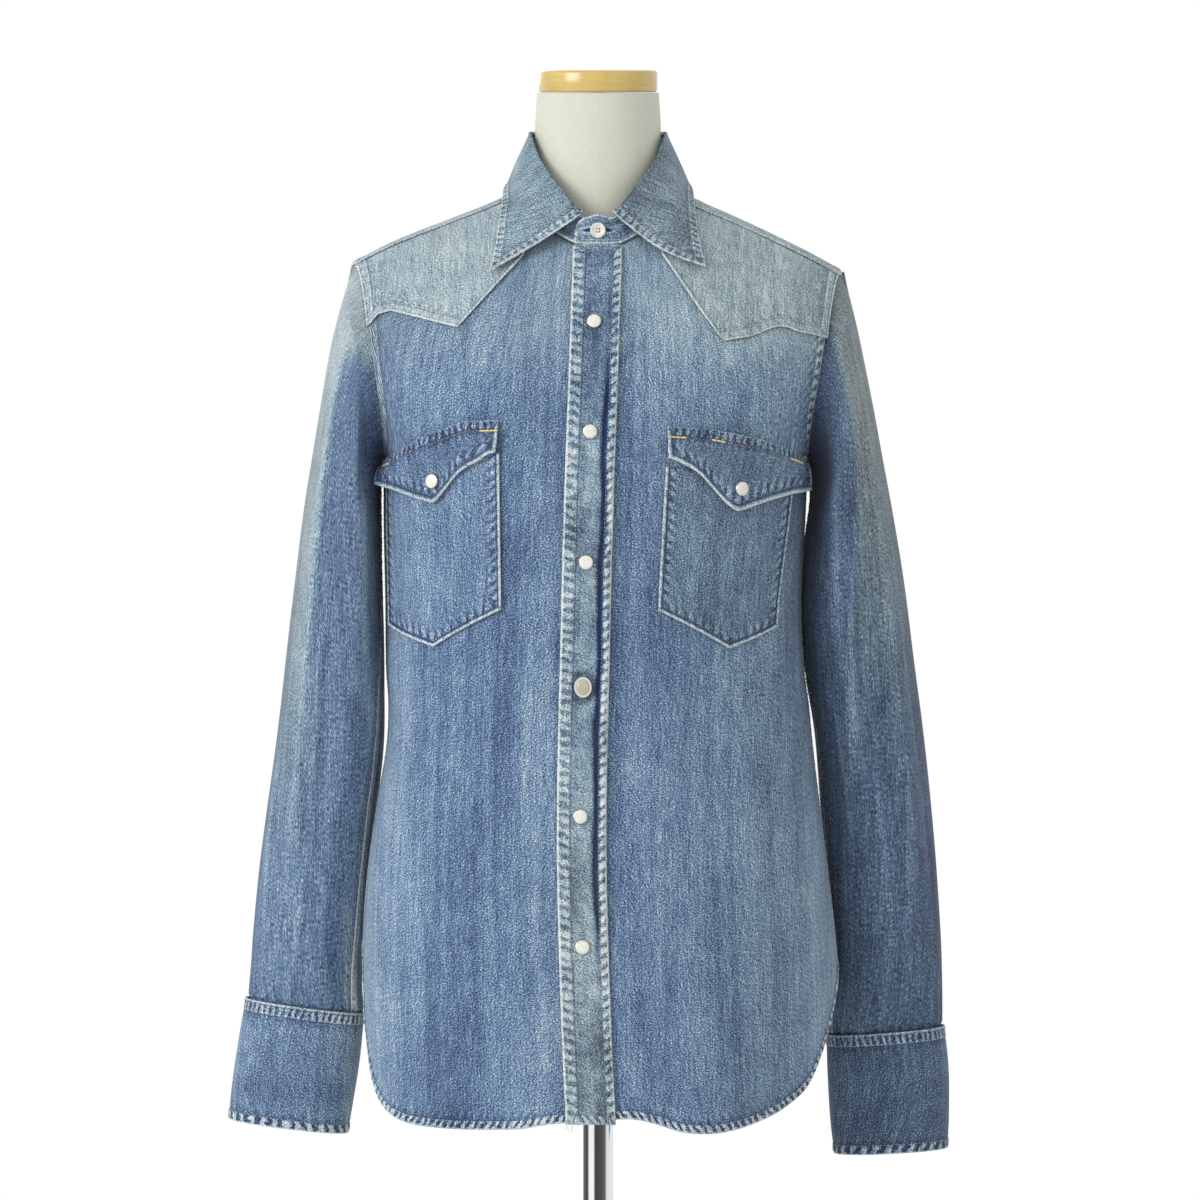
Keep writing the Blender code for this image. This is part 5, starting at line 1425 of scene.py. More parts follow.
def makeCuff(side):
    def place(u, v):
        return cuffPoint(side, 1 - v, (360 + cuffLap) * u, 0.0)

    def lift(u, v, point):
        return 0.0006 * softWaves(point, 0.03, 2.2) * ease(min(u, 1 - u) / 0.05) * ease(v / 0.2)

    def fadeAndPaintedShading(u, v, point):
        lines = 0.05 * streaks(point, 0.03, 0.03, 0.0035)
        # the wearer's left cuff is darker: darker cloth, and partly painted shade on the side away from the
        # lamp; the right cuff is lighter towards the body, as painted light where the body shades it
        shade = 0.335 - 0.105 * side + 0.06 * grain(point, 0.022) + 0.05 * grain(point, 0.007, 4.0)
        return shade + lines + (0.10 * ease((point.x + 0.205) / 0.03) if side < 0 else 0.0)

    bands = [band("cuff", "low"), band("cuffTop", "top"), band("cuff", "left", width=0.005),
             band("cuff", "right", width=0.005)]
    return clothPiece("cuff_" + sideNames[side], "denimBody",
                      steps((0.03, 6), (0.97, 112), (1.0, 6)), steps((0.10, 8), (0.88, 24), (1.0, 9)),
                      place, lift, fadeAndPaintedShading, 0.06 + 0.04 * side, bands, wall=0.0016, flip=side > 0,
                      uvStart=(0.0, 26.0 + side))


def makeSleeveStrip(side):
    first, last = 11.4, 13.6

    def place(u, v):
        return sleevePoint(side, last + (first - last) * v, cuffStart - 2 + 26 * u)

    def fadeAndPaintedShading(u, v, point):
        return 0.42 + 0.05 * grain(point, 0.01)

    bands = [band("stand", edge) for edge in ("left", "right", "top")]
    return clothPiece("sleeve_strip_" + sideNames[side],
                      "denimBody", steps((1.0, 14)), steps((1.0, 44)), place,
                      0.0022, fadeAndPaintedShading, 0.1, bands, wall=0.0013, flip=side > 0,
                      uvStart=(0.0, 29.0 + side))


# collar
foldCurve = curve([Station(0.0, 1.3640, 0, 0, 0)] + collarStations, "turn", "foldZ")
edgeCurves = {axis: curve(collarStations, "turn", axis) for axis in ("edgeX", "edgeY", "edgeZ")}
standLap = 18.0
standTall = 0.0218
leafRest = 0.0062
foldHalfWidth = 0.0493
leafSwell = 0.0006
tabTurn = 10.0
tabDrop = 0.0125
LeafSag = namedtuple("LeafSag", "tip middle")
leafSags = {-1: LeafSag(0.0030, 0.0020), 1: LeafSag(0.0, 0.0065)}


def foldPoint(turn):
    angle = radians(turn)
    around = abs(wrapped(turn))
    reach = 0.0700 if cos(angle) > 0 else 0.0530
    return Vector((foldHalfWidth * sin(angle), -reach * cos(angle), foldCurve(around) - 0.0030))


def standPoint(turnOn, v, thick):
    turn = turnOn - standLap
    seamX, seamY = neckXy(turn)
    across, over = topPlace(seamX, seamY)
    foot = overPoint(across, over)
    out = Vector((seamX, seamY, 0)).normalized()
    wound = 0.0022 * (1 - turnOn / (360 + 2 * standLap)) - 0.0006
    foot = foot - out * 0.0026 + Vector((0, 0, 0.0016))
    foot.z = max(foot.z, 1.3385)
    point = foot.lerp(foldPoint(turn), v)
    if turnOn < tabTurn:
        point.z -= v * tabDrop * (1 - sqrt(max(1 - (1 - turnOn / tabTurn) ** 2, 0.0)))
    return point + out * (wound - thick)


buttonSettings = {"radius": 0.0057, "z": 1.3492, "hole": 0.00075, "holeOut": 0.0013}
holeSettings = {"half": 0.0130, "tall": 0.0014}


def buttonShare():
    return (buttonSettings["z"] - 1.3392) / standTall


def holeReach(turnOn, v):
    # 1 on the rim of the buttonhole, less inside it
    along = radians(turnOn - standLap) * neckFront
    up = (v - buttonShare()) * standTall - 0.0012
    return sqrt((along / holeSettings["half"]) ** 2 + (up / holeSettings["tall"]) ** 2)


def makeStand():
    whole = 360 + 2 * standLap

    def place(u, v):
        point = standPoint(whole * u, v, 0.0)
        seamX, seamY = neckXy(whole * u - standLap)
        # the foot laps over the body's neck edge
        foot = ease((0.24 - v) / 0.24) * ease((abs(seamX) - 0.008) / 0.008)
        return point + Vector((seamX, seamY, 0)).normalized() * 0.0038 * foot - Vector((0, 0, 0.0018 * foot))

    def lift(u, v, point):
        reach = holeReach(whole * u, v)
        rim = 0.0003 * bump(reach - 1.6, 0.5) - 0.0005 * ease((1.1 - reach) / 0.4)
        return 0.0002 * grain(point, 0.006) * ease(min(u, 1 - u) / 0.05) + rim

    def fadeAndPaintedShading(u, v, point):
        reach = holeReach(whole * u, v)
        shade = 0.50 + 0.06 * grain(point, 0.012) - 0.10 * bump(v - 0.75, 0.3) * ease((u - 0.06) / 0.05)
        # pale threads round the buttonhole, and painted shade in its slit
        return shade + 0.22 * bump(reach - 1.8, 0.6) - 0.80 * ease((1.25 - reach) / 0.3)

    bands = [band("stand", "low"), band("stand", "left", cord=0.0008, cordWidth=0.0026, wear=1.3),
             band("stand", "top", wear=0.9), band("stand", "right")]
    return clothPiece("collar_stand", "denimTrim",
                      steps((0.03, 16), (0.11, 60), (1.0, 170)), steps((0.22, 6), (0.8, 30), (1.0, 6)),
                      place, lift, fadeAndPaintedShading, 0.10, bands, wall=0.0016, flip=False, uvStart=(0.0, 32.0))


leafLines = [0.0, 0.12, 0.24, 0.43, 0.62, 0.81, 1.0]


def leafColumn(turn):
    # the leaf's key points at one turn: off the stand's top, over the roll and down to its edge
    around = abs(wrapped(turn))
    side = sideOf(wrapped(turn))
    edge = Vector((side * edgeCurves["edgeX"](around), edgeCurves["edgeY"](around),
                   edgeCurves["edgeZ"](around)))
    if around > 22:
        edge.z = max(edge.z, shoulderHeight(edge.x, edge.y) + leafRest)
    fold = foldPoint(side * around)
    out = Vector((fold.x, fold.y * 0.8, 0)).normalized()
    shoulder = fold + out * 0.0024 + Vector((0, 0, 0.0004))
    points = [fold + Vector((0, 0, 0.0014)) + out * 0.0002,
              fold + out * 0.0014 + Vector((0, 0, 0.0034)), shoulder]
    sag = leafSags[side]
    for v in leafLines[3:]:
        f = (v - 0.24) / 0.76
        points.append(shoulder.lerp(edge, f) + (out * 0.6 + Vector((0, 0, 0.5))) * leafSwell * sin(pi * f))
        points[-1].z -= (sag.tip * f + sag.middle * sin(pi * f)) * ease((44 - around) / 30)
    return points


def makeLeaf():
    first = collarStations[0].turn
    columns = {}

    def place(u, v):
        if u not in columns:
            columns[u] = leafColumn(first + (360 - 2 * first) * u)
        p = columns[u]
        i = min(bisect_right(leafLines, v) - 1, len(leafLines) - 2)
        f = (v - leafLines[i]) / (leafLines[i + 1] - leafLines[i])
        before = (p[i + 1] - p[max(i - 1, 0)]) / 2
        after = (p[min(i + 2, len(p) - 1)] - p[i]) / 2
        h = f * f * (3 - 2 * f)
        return p[i].lerp(p[i + 1], h) + before * f * (1 - f) ** 2 - after * f * f * (1 - f)

    def lift(u, v, point):
        return 0.0006 + 0.0005 * grain(point, 0.020, 3.0) * ease((v - 0.3) / 0.2)

    def fadeAndPaintedShading(u, v, point):
        shade = 0.445 + 0.10 * grain(point, 0.016) + 0.06 * grain(point, 0.006, 5.0)
        shade -= 0.04 * sideOf(point[0]) * ease(abs(point[0]) / 0.02)
        # painted shade in the creases of the collar's throat
        throat = ease((0.20 - min(u, 1 - u)) / 0.15) * ease((0.6 - v) / 0.3)
        return shade - 0.04 * ease((0.34 - v) / 0.25) - 0.08 * throat

    def dirt(u, v, point):
        return 0.32 + 0.04 * sideOf(point[0]) * ease(abs(point[0]) / 0.02)

    bands = [band("collar", "left"), band("collar", "right"), band("collar", "top")]
    return clothPiece("collar_leaf", "denimYoke",
                      steps((0.05, 16), (0.95, 170), (1.0, 16)), steps((0.24, 10), (0.86, 20), (1.0, 9)),
                      place, lift, fadeAndPaintedShading, dirt, bands, wall=0.0020, flip=True, middle=0.5, uvStart=(0.0, 34.0))


for side in (-1, 1):
    makeFront(side)
    makeFrontYoke(side)
    makePocket(side)
    makeFlap(side)
    makeSleeve(side)
    makeCuff(side)
    makeSleeveStrip(side)
makeBack()
makeBackYoke()
makePlacket()
makeStand()
makeLeaf()


# fastenings
snapSettings = {"radius": 0.0054, "midRadius": 0.0067, "height": 0.0028, "steps": 40}


def placed(bm, place, axis):
    turn = Vector((0, 0, 1)).rotation_difference(axis.normalized()).to_matrix().to_4x4()
    bmesh.ops.transform(bm, matrix=Matrix.Translation(place) @ turn, verts=bm.verts)


def finishHard(bm, name, node, names, smooth=35):
    bmesh.ops.recalc_face_normals(bm, faces=bm.faces)
    data = bpy.data.meshes.new(name)
    bm.to_mesh(data)
    bm.free()
    data.shade_smooth()
    data.set_sharp_from_angle(angle=radians(smooth))
    for look in names:
        data.materials.append(looks[look])
    piece = bpy.data.objects.new(name, data)
    bpy.context.scene.collection.objects.link(piece)
    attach(piece, "root")
    if node:
        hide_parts(node)
    return piece


def spun(profile, count, materialAt=None):
    # profile is (radius, height) from the bottom's middle to the top's
    bm = bmesh.new()
    verts = [bm.verts.new((radius, 0, height)) for radius, height in profile]
    edges = [bm.edges.new(pair) for pair in zip(verts, verts[1:])]
    bmesh.ops.spin(bm, geom=verts + edges, axis=(0, 0, 1), cent=(0, 0, 0), steps=count,
                   angle=2 * pi, use_merge=True, use_duplicate=False)
    bmesh.ops.remove_doubles(bm, verts=bm.verts, dist=1e-6)
    if materialAt:
        for face in bm.faces:
            middle = face.calc_center_median()
            face.material_index = materialAt(sqrt(middle.x ** 2 + middle.y ** 2), middle.z)
    return bm


def snapMesh(radius, height, cap):
    # a thin metal ring holds a domed cap
    profile = [(0, 0), (radius * 0.72, 0), (radius * 0.97, height * 0.22), (radius, height * 0.42),
               (radius * 0.985, height * 0.66), (radius * 0.93, height * 0.84),
               (radius * cap, height * 0.86), (radius * cap * 0.99, height * 0.80),
               (radius * cap * 0.93, height * 0.95), (radius * cap * 0.75, height * 1.06),
               (radius * cap * 0.45, height * 1.12), (radius * cap * 0.2, height * 1.14),
               (0, height * 1.145)]
    inner = radius * cap * 0.995
    return spun(profile, snapSettings["steps"],
                lambda r, z: 0 if r < inner and z > height * 0.6 else 1)


def frontAxis(x, z, lift):
    across, level = frontPlace(x, z)
    low = bodySkin(-1, across, level, lift)
    return low, bodySkin(-1, across, level, lift + 0.001) - low


def makeSnaps():
    for count, z in enumerate(snapHeights, 1):
        place, axis = frontAxis(placketMiddle(z) - 0.0008, z, 0.0025)
        middle = count == 4
        bm = snapMesh(snapSettings["midRadius" if middle else "radius"], snapSettings["height"],
                      0.72 if middle else 0.90)
        if middle:
            bmesh.ops.scale(bm, vec=(1.0, 1.18, 1.25), verts=bm.verts)
        placed(bm, place, axis)
        node = "snap_front_%d" % count
        finishHard(bm, "cap_front_%d" % count, node, ("beige" if middle else "pearl", "steel"))
    for side, x, z in ((-1, 0.1165, 1.1662), (1, 0.1008, 1.1607)):
        place, axis = frontAxis(side * x, z, 0.0052)
        bm = snapMesh(snapSettings["radius"], snapSettings["height"], 0.90)
        placed(bm, place, axis)
        finishHard(bm, "cap_flap_" + sideNames[side], "snap_flap_" + sideNames[side], ("pearl", "steel"))


def makeCuffSnaps():
    for side in (-1, 1):
        for count, f in enumerate((0.26, 0.74), 1):
            place = cuffPoint(side, f, 11.0, 0.0)
            edge = cuffPoint(side, f, 17.0, 0.0) - cuffPoint(side, f, 5.0, 0.0)
            down = cuffPoint(side, f + 0.1, 11.0, 0.0) - cuffPoint(side, f - 0.1, 11.0, 0.0)
            axis = edge.cross(down).normalized()
            if axis.dot(place - cuffPoint(side, f, 191.0, 0.0)) < 0:
                axis.negate()
            bm = snapMesh(snapSettings["radius"], 0.0024, 0.90)
            placed(bm, place + axis * 0.0006, axis)
            tag = "cuff_%s_%d" % (sideNames[side], count)
            finishHard(bm, "cap_" + tag, "snap_" + tag, ("pearl", "steel"))


def makeButton():
    place = standPoint(standLap, buttonShare(), -0.0004)
    axis = place - standPoint(standLap, buttonShare(), 0.0010)
    r = buttonSettings["radius"]
    profile = [(0, 0), (r * 0.90, 0), (r * 0.985, 0.0006), (r, 0.0013), (r * 0.985, 0.0021),
               (r * 0.93, 0.0026), (r * 0.80, 0.0027), (r * 0.68, 0.0022), (r * 0.60, 0.0019),
               (r * 0.30, 0.0018), (0, 0.0018)]
    bm = spun(profile, 48)
    placed(bm, place, axis)
    button = finishHard(bm, "button_collar", "button_stand", ("pearl",))
    bm = bmesh.new()                       # two crossed threads, and dark discs painted as the shade of the four holes in the sunk middle
    out, lift = buttonSettings["holeOut"], 0.00195
    for angle in (45, 135):
        turn = Matrix.Rotation(radians(angle), 4, "Z")
        for shift in (-0.0002, 0.0002):
            shape = Matrix.Translation((0, shift, lift)) @ Matrix.Diagonal((1, 1, 1, 1))
            part = bmesh.ops.create_icosphere(bm, subdivisions=2, radius=1.0)
            scale = Matrix.Diagonal((out * 1.15, 0.00022, 0.00030, 1))
            bmesh.ops.transform(bm, matrix=turn @ shape @ scale, verts=part["verts"])
    placed(bm, place, axis)
    finishHard(bm, "button_thread", None, ("threadWhite",), 80)
    # dark discs over the four holes, painted as their shade
    bm = bmesh.new()
    for angle in (45, 135, 225, 315):
        spot = Matrix.Rotation(radians(angle), 4, "Z") @ Matrix.Translation((out, 0, 0.00182))
        part = bmesh.ops.create_circle(bm, cap_ends=True, segments=12, radius=buttonSettings["hole"],
                                       matrix=spot)
        ring = bmesh.ops.extrude_face_region(bm, geom=list({f for v in part["verts"] for f in v.link_faces}))
        bmesh.ops.translate(bm, vec=(0, 0, 0.00006),
                            verts=[g for g in ring["geom"] if isinstance(g, bmesh.types.BMVert)])
    placed(bm, place, axis)
    finishHard(bm, "button_hole_shade", None, ("paintedHoleShade",), 40)
    return button


looks["beige"] = threadLook("beige", (0.30, 0.27, 0.19), (0.44, 0.40, 0.30))
looks["beige"].node_tree.nodes["Principled BSDF"].inputs["Roughness"].default_value = 0.30
# a dark look for the discs that stand for the shade in the button's holes
looks["paintedHoleShade"] = threadLook("paintedHoleShade", (0.06, 0.055, 0.05), (0.12, 0.11, 0.10))
makeSnaps()
makeCuffSnaps()
makeButton()
print("fastenings made")


# stitches
stitchSettings = {"length": 0.0021, "pitch": 0.0029, "width": 0.00034, "height": 0.00026}


def gridLine(name, edge, distance, start=0.0, end=1.0, at=None, way=1):
    # points and normals on a finished piece, a set distance in from one of its edges
    cloth = pieces[name]
    across, down = cloth.across, cloth.down
    rows, columns = across.shape
    line = []
    if edge in ("left", "right", "column"):
        for i in range(rows):
            if not start <= cloth.vs[i] <= end:
                continue
            if edge == "column":
                base = np.interp(at(cloth.vs[i]), cloth.us, across[i]) + way * distance
            else:
                base = distance if edge == "left" else across[i, -1] - distance
            if not 0 < base < across[i, -1]:
                continue
            j = min(max(int(np.searchsorted(across[i], base)), 1), columns - 1)
            f = (base - across[i, j - 1]) / max(across[i, j] - across[i, j - 1], 1e-9)
            line.append((cloth.points[i, j - 1] * (1 - f) + cloth.points[i, j] * f,
                         cloth.normals[i, j]))
    else:
        for j in range(columns):
            if not start <= cloth.us[j] <= end:
                continue
            base = distance if edge == "low" else down[-1, j] - distance
            i = min(max(int(np.searchsorted(down[:, j], base)), 1), rows - 1)
            f = (base - down[i - 1, j]) / max(down[i, j] - down[i - 1, j], 1e-9)
            line.append((cloth.points[i - 1, j] * (1 - f) + cloth.points[i, j] * f,
                         cloth.normals[i, j]))
    return line


def sew(bm, line, size=1.0, pitch=stitchSettings["pitch"]):
    # a row of single stitches along a line
    places = [Vector(point) for point, _ in line]
    reach, number = 0.0, 0
    for (a, b), (_, normal) in zip(zip(places, places[1:]), line[1:]):
        length = (b - a).length
        if length < 1e-7:
            continue
        while reach <= length:
            point = a.lerp(b, reach / length)
            up = Vector(normal)
            forward = (b - a).normalized()
            sideways = up.cross(forward).normalized()
            up = forward.cross(sideways)
            wobble = 1 + 0.08 * sin(number * 2.39)
            frameOf = Matrix((forward * stitchSettings["length"] / 2 * wobble * size,
                              sideways * stitchSettings["width"] * size,
                              up * stitchSettings["height"] * size)).transposed().to_4x4()
            bmesh.ops.create_icosphere(bm, subdivisions=1, radius=1.0,
                                       matrix=Matrix.Translation(point + up * 0.00012) @ frameOf)
            reach += pitch
            number += 1
        reach -= length


def stitched(title, look, rows, **kind):
    bm = bmesh.new()
    for row in rows:
        name, edge, distance = row[:3]
        extra = row[3] if len(row) > 3 else {}
        sew(bm, gridLine(name, edge, distance, **extra), **kind)
    return finishHard(bm, "stitches_" + title, None, (look,), 60)


# yellow bar-tacks on the flaps' top seams: where they start and end
tacks = {-1: [(0.07, 0.15), (0.915, 0.99)], 1: [(0.01, 0.09), (0.215, 0.285), (0.75, 0.89)]}


def makeStitches():
    sewn = {}
    for side in (-1, 1):
        word = sideNames[side]
        name = "shell_front_" + word
        sewn["front", side] = stitched("front_" + word, "threadTone", [
            (name, "low", 0.0060), (name, "right", 0.0018, {"end": 0.5}),
            (name, "right", 0.0078, {"end": 0.5}), (name, "right", 0.0018, {"start": 0.5, "end": 0.86}),
            (name, "right", 0.0084, {"start": 0.5, "end": 0.86})])
        name = "shell_yoke_" + word
        sewn["yoke", side] = stitched("yoke_" + word, "threadTone", [
            (name, "low", 0.0020), (name, "low", 0.0060), (name, "left", 0.0018),
            (name, "right", 0.0018), (name, "right", 0.0084)])
        name = "shell_pocket_" + word
        sewn["pocket", side] = stitched("pocket_" + word, "threadDark", [
            (name, edge, 0.0024) for edge in ("left", "right", "low")])
        name = "shell_flap_" + word
        sewn["flap", side] = stitched("flap_" + word, "threadDark", [
            (name, edge, 0.0035) for edge in ("left", "right", "low")])
        gaps = ((0.0, 1.0),) if side < 0 else ((0.0, 0.11), (0.21, 1.0))
        sewn["flapTop", side] = stitched("flap_top_" + word, "threadWorn", [
            (name, "top", 0.0072, {"start": start, "end": end}) for start, end in gaps])
        sewn["tack", side] = stitched("flap_tacks_" + word, "threadGold", [
            (name, "top", 0.0074, {"start": start, "end": end}) for start, end in tacks[side]],
            size=2.5, pitch=0.0036)
        name = "shell_sleeve_" + word
        sewn["sleeve", side] = stitched("sleeve_" + word, "threadTone", [
            (name, "column", distance, {"start": 0.01, "end": 0.97, "at": underarmAt(side), "way": -1})
            for distance in (0.0020, 0.0082)])
        name = "shell_cuff_" + word
        sewn["cuff", side] = stitched("cuff_" + word, "threadTone", [
            (name, "low", 0.0066), (name, "top", 0.0017), (name, "top", 0.0085),
            (name, "left", 0.0050)])
    name = "shell_back"
    sewn["back"] = stitched("back", "threadTone", [
        (name, "low", 0.0060), *[(name, edge, distance, {"start": 0.62, "end": 0.96})
                                 for edge in ("left", "right") for distance in (0.0018, 0.0086)]])
    name = "shell_yoke_back"
    sewn["yokeBack"] = stitched("yoke_back", "threadTone", [
        (name, "low", 0.0014), (name, "low", 0.0072), (name, "left", 0.0018), (name, "left", 0.0086),
        (name, "right", 0.0018), (name, "right", 0.0086), (name, "top", 0.0014, {"end": 0.22}),
        (name, "top", 0.0062, {"end": 0.22}), (name, "top", 0.0014, {"start": 0.78}),
        (name, "top", 0.0062, {"start": 0.78})])
    name = "shell_placket"
    sewn["placket"] = stitched("placket", "threadTone", [
        (name, "left", 0.0088), (name, "right", 0.0058)])
    bm = bmesh.new()
    for number in range(6):
        foot = Vector(pieces[name].points[0, 0]) + Vector((0.0011 * number, -0.0004, 0.0012))
        tip = foot + Vector((0.0020 * sin(2.4 * number), -0.0006, -0.0052 - 0.0022 * sin(1.7 * number)))
        sew(bm, [(foot, (0, -1, 0)), (tip, (0, -1, 0))], size=0.55, pitch=0.0007)
    sewn["fray"] = finishHard(bm, "stitches_fray", None, ("threadPale",), 60)
    name = "shell_collar_leaf"
    sewn["leaf"] = stitched("collar_leaf", "threadTone", [
        (name, "left", 0.0078), (name, "right", 0.0078), (name, "top", 0.0078, {"start": 0.03, "end": 0.97})])
    name = "shell_collar_stand"
    sewn["stand"] = stitched("collar_stand", "threadTone", [
        (name, "low", 0.0032), (name, "left", 0.0036), (name, "top", 0.0032, {"end": 0.11})])
    return sewn


sewn = makeStitches()
print("stitches made:", len(sewn), "rows of pieces")


# the dress form and its stand
formSettings = {"bottom": 0.770, "neckTop": 1.4560, "capHeight": 0.016, "capRadius": 0.0440,
                "tilt": radians(5.4), "poleRadius": 0.011, "baseRadius": 0.165, "baseHeight": 0.010,
                "clearance": 0.0095, "steps": 96}


def formRing(z, turn):
    clearance = formSettings["clearance"]
    face = -1 if cos(turn) > 0 else 1
    wide = ringSide[1 if sin(turn) > 0 else -1](z) - clearance
    deep = ringDepth[face](z) - clearance
    power = 2 / ringPower(z)
    return Vector((wide * sideOf(sin(turn)) * abs(sin(turn)) ** power,
                   face * deep * abs(cos(turn)) ** power, z))


def formShoulder(turn):
    face = -1 if cos(turn) > 0 else 1
    across = ((turn + pi) % (2 * pi) - pi) / (pi / 2)
    across = across if abs(across) <= 1 else (2 - abs(across)) * sideOf(across)
    return lambda level: bodySkin(face, across * 0.96, level, -0.0085)


def formColumn(turn):
    # one upright line of the form, from the middle of its underside to its neck
    s, c = sin(turn), cos(turn)
    bottom = formRing(formSettings["bottom"] + 0.018, turn)
    flat = [Vector((bottom.x * share, bottom.y * share, formSettings["bottom"]))
            for share in (0.03, 0.30, 0.60, 0.90)]
    points = [flat.pop()]
    points += [formRing(z, turn) for z in (0.788, 0.84, 0.90, 0.96, 1.02, 1.08, 1.14, 1.185)]
    atLevel = formShoulder(turn)
    points += [atLevel(level) for level in (0.22, 0.45)]
    shoulder = points[-1]
    neck = Vector((0.0490 * s, -0.0530 * c, 0))
    for share, drop in ((0.10, 0.0060), (0.32, 0.0050), (0.60, 0.0060), (0.84, 0.0080), (1.0, 0.0120)):
        spot = Vector((shoulder.x, shoulder.y, 0)).lerp(neck, share)
        height = shoulderHeight(spot.x, spot.y) - drop - clothWall - 0.0015
        points.append(Vector((spot.x, spot.y, height)))
    for z, wide, deep in ((1.3880, 0.0487, 0.0512), (1.4150, 0.0469, 0.0485), (1.4350, 0.0464, 0.0468)):
        points.append(Vector((wide * s, -deep * c, z)))
    top = Vector((0.0450 * s, -0.0450 * c, formSettings["neckTop"]))
    top.z += top.y * sin(formSettings["tilt"])
    points.append(top)
    line = []
    for i in range(len(points) - 1):
        before, here, after = points[max(i - 1, 0)], points[i], points[i + 1]
        beyond = points[min(i + 2, len(points) - 1)]
        for k in range(4):
            f = k / 4
            line.append(0.5 * (2 * here + (after - before) * f + (2 * before - 5 * here + 4 * after - beyond)
                               * f * f + (3 * here - before - 3 * after + beyond) * f ** 3))
    rim = top - Vector((top.x * 0.02, top.y * 0.02, 0.0001))
    middle = Vector((top.x * 0.03, top.y * 0.03, formSettings["neckTop"]))
    return flat + line + [top - Vector((0, 0, 0.0007)), rim, middle]


def makeForm():
    count = formSettings["steps"]
    lines = [formColumn(2 * pi * k / count) for k in range(count)]
    rows = len(lines[0])
    bm = bmesh.new()
    uvKey = bm.loops.layers.uv.new("cloth")
    bmesh.ops.create_grid(bm, x_segments=count, y_segments=rows - 1, size=0.5)
    bm.verts.index_update()
    clothUv = {}
    for k, vert in enumerate(bm.verts):
        i, j = divmod(k, count + 1)
        vert.co = lines[j % count][i]
        clothUv[vert.index] = (j / count * 0.9, vert.co.z)
    for face in bm.faces:
        for loop in face.loops:
            loop[uvKey].uv = clothUv[loop.vert.index]
    bmesh.ops.remove_doubles(bm, verts=bm.verts, dist=1e-6)
    bmesh.ops.holes_fill(bm, edges=[e for e in bm.edges if e.is_boundary], sides=0)
    return finishHard(bm, "form_body", "form_torso", ("linen",), 60)


def turnedPiece(name, node, profile, place, axis, look, count=72):
    bm = spun(profile, count)
    placed(bm, place, axis)
    return finishHard(bm, name, node, (look,), 40)


def makeStandParts():
    tilt = formSettings["tilt"]
    r, h = formSettings["capRadius"], formSettings["capHeight"]
    cap = [(0, 0), (r - 0.0016, 0), (r - 0.0006, 0.0004), (r, 0.0014), (r, h - 0.0020),
           (r - 0.0005, h - 0.0008), (r - 0.0016, h - 0.0001), (r - 0.0030, h), (0, h)]
    turnedPiece("form_neck_cap", "form_cap", cap, Vector((0, 0, formSettings["neckTop"] + 0.0003)),
                Vector((0, -sin(tilt), cos(tilt))), "wood")
    r = formSettings["poleRadius"]
    top = formSettings["bottom"] - 0.0003
    low = formSettings["baseHeight"] + 0.0003
    pole = [(0, 0), (r, 0), (r, top - low), (0, top - low)]
    turnedPiece("form_stand_pole", "form_pole", pole, Vector((0, 0, low)), Vector((0, 0, 1)), "chromePaintedReflection")
    r, h = formSettings["baseRadius"], formSettings["baseHeight"]
    plate = [(0, 0), (r - 0.0006, 0), (r, 0.0008), (r, h * 0.55), (r - 0.0006, h * 0.70),
             (r - 0.0022, h * 0.90), (r - 0.0045, h), (0.030, h), (0, h)]
    turnedPiece("form_stand_base", "form_base", plate, Vector((0, 0, 0)), Vector((0, 0, 1)), "chrome", 128)


makeForm()
makeStandParts()
print("form and stand made")


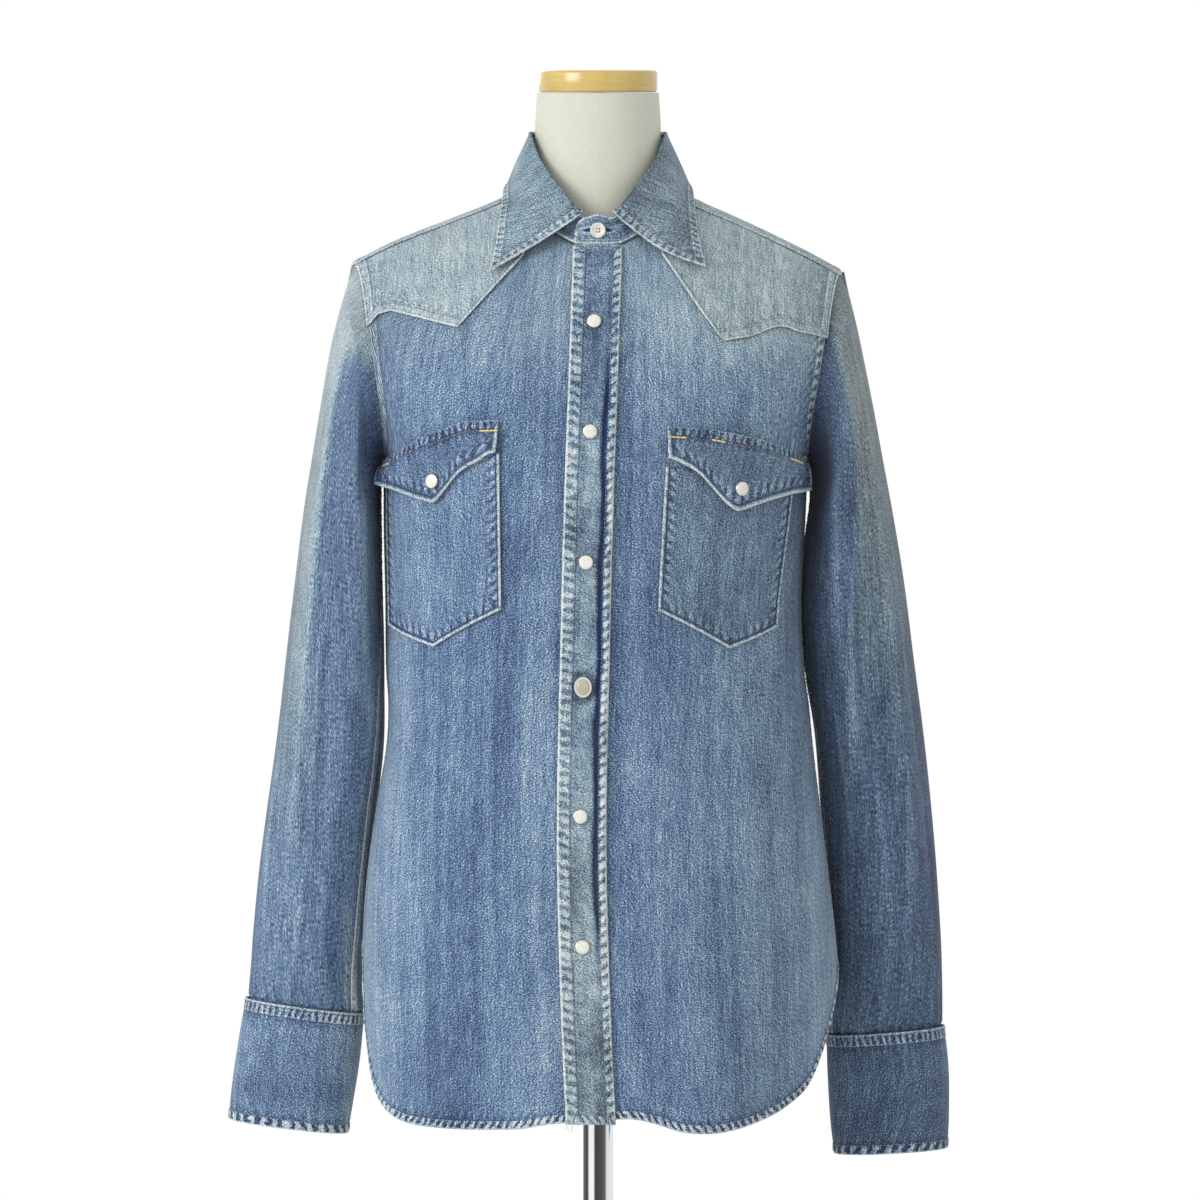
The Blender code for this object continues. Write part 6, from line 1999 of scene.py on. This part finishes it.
# floor, light and camera
stageSettings = {"cameraX": 0.0015, "cameraAway": 4.0, "cameraZ": 1.08, "lens": 162.0,
                 "floorRadius": 5.0, "world": 1.0}


def makeStage():
    bm = bmesh.new()
    bmesh.ops.create_circle(bm, cap_ends=True, segments=96, radius=stageSettings["floorRadius"],
                            matrix=Matrix.Translation((0, 0, -0.0005)))
    data = bpy.data.meshes.new("floor")
    bm.to_mesh(data)
    bm.free()
    graph = Graph("floorPaint")
    cloud = graph.noise(plainVector(graph, None), 3.0, 3.0)
    tones = [(place, (tone, tone, tone)) for place, tone in ((0.3, 0.80), (0.7, 0.84))]
    graph.paint(graph.ramp(graph.maths("ADD", cloud, 0.5), tones))
    graph.surface(0.7)
    data.materials.append(graph.look)
    floor = bpy.data.objects.new("floor", data)
    bpy.context.scene.collection.objects.link(floor)
    world = bpy.data.worlds.new("studio")
    world.use_nodes = True
    world.node_tree.nodes["Background"].inputs["Color"].default_value = (1.0, 1.0, 1.0, 1.0)
    world.node_tree.nodes["Background"].inputs["Strength"].default_value = stageSettings["world"]
    bpy.context.scene.world = world
    bpy.context.scene.view_settings.view_transform = "Standard"


def addLight(name, place, aim, size, power):
    data = bpy.data.lights.new(name, "AREA")
    data.shape = "RECTANGLE"
    data.size, data.size_y = size
    data.energy = power
    light = bpy.data.objects.new(name, data)
    light.location = place
    light.rotation_euler = (Vector(aim) - Vector(place)).to_track_quat("-Z", "Y").to_euler()
    bpy.context.scene.collection.objects.link(light)


def addCamera():
    data = bpy.data.cameras.new("camera")
    data.lens = stageSettings["lens"]
    data.sensor_width = 36.0
    data.clip_end = 50.0
    camera = bpy.data.objects.new("camera", data)
    camera.location = (stageSettings["cameraX"], -stageSettings["cameraAway"], stageSettings["cameraZ"])
    camera.rotation_euler = (pi / 2, 0, 0)
    bpy.context.scene.collection.objects.link(camera)
    bpy.context.scene.camera = camera


makeStage()
addLight("key", (-2.6, -2.2, 2.0), (0, 0, 1.1), (1.6, 1.6), 72.0)
addLight("back", (-0.8, 2.6, 2.4), (0, 0, 1.2), (1.6, 1.6), 16.0)
addCamera()
print("stage set")
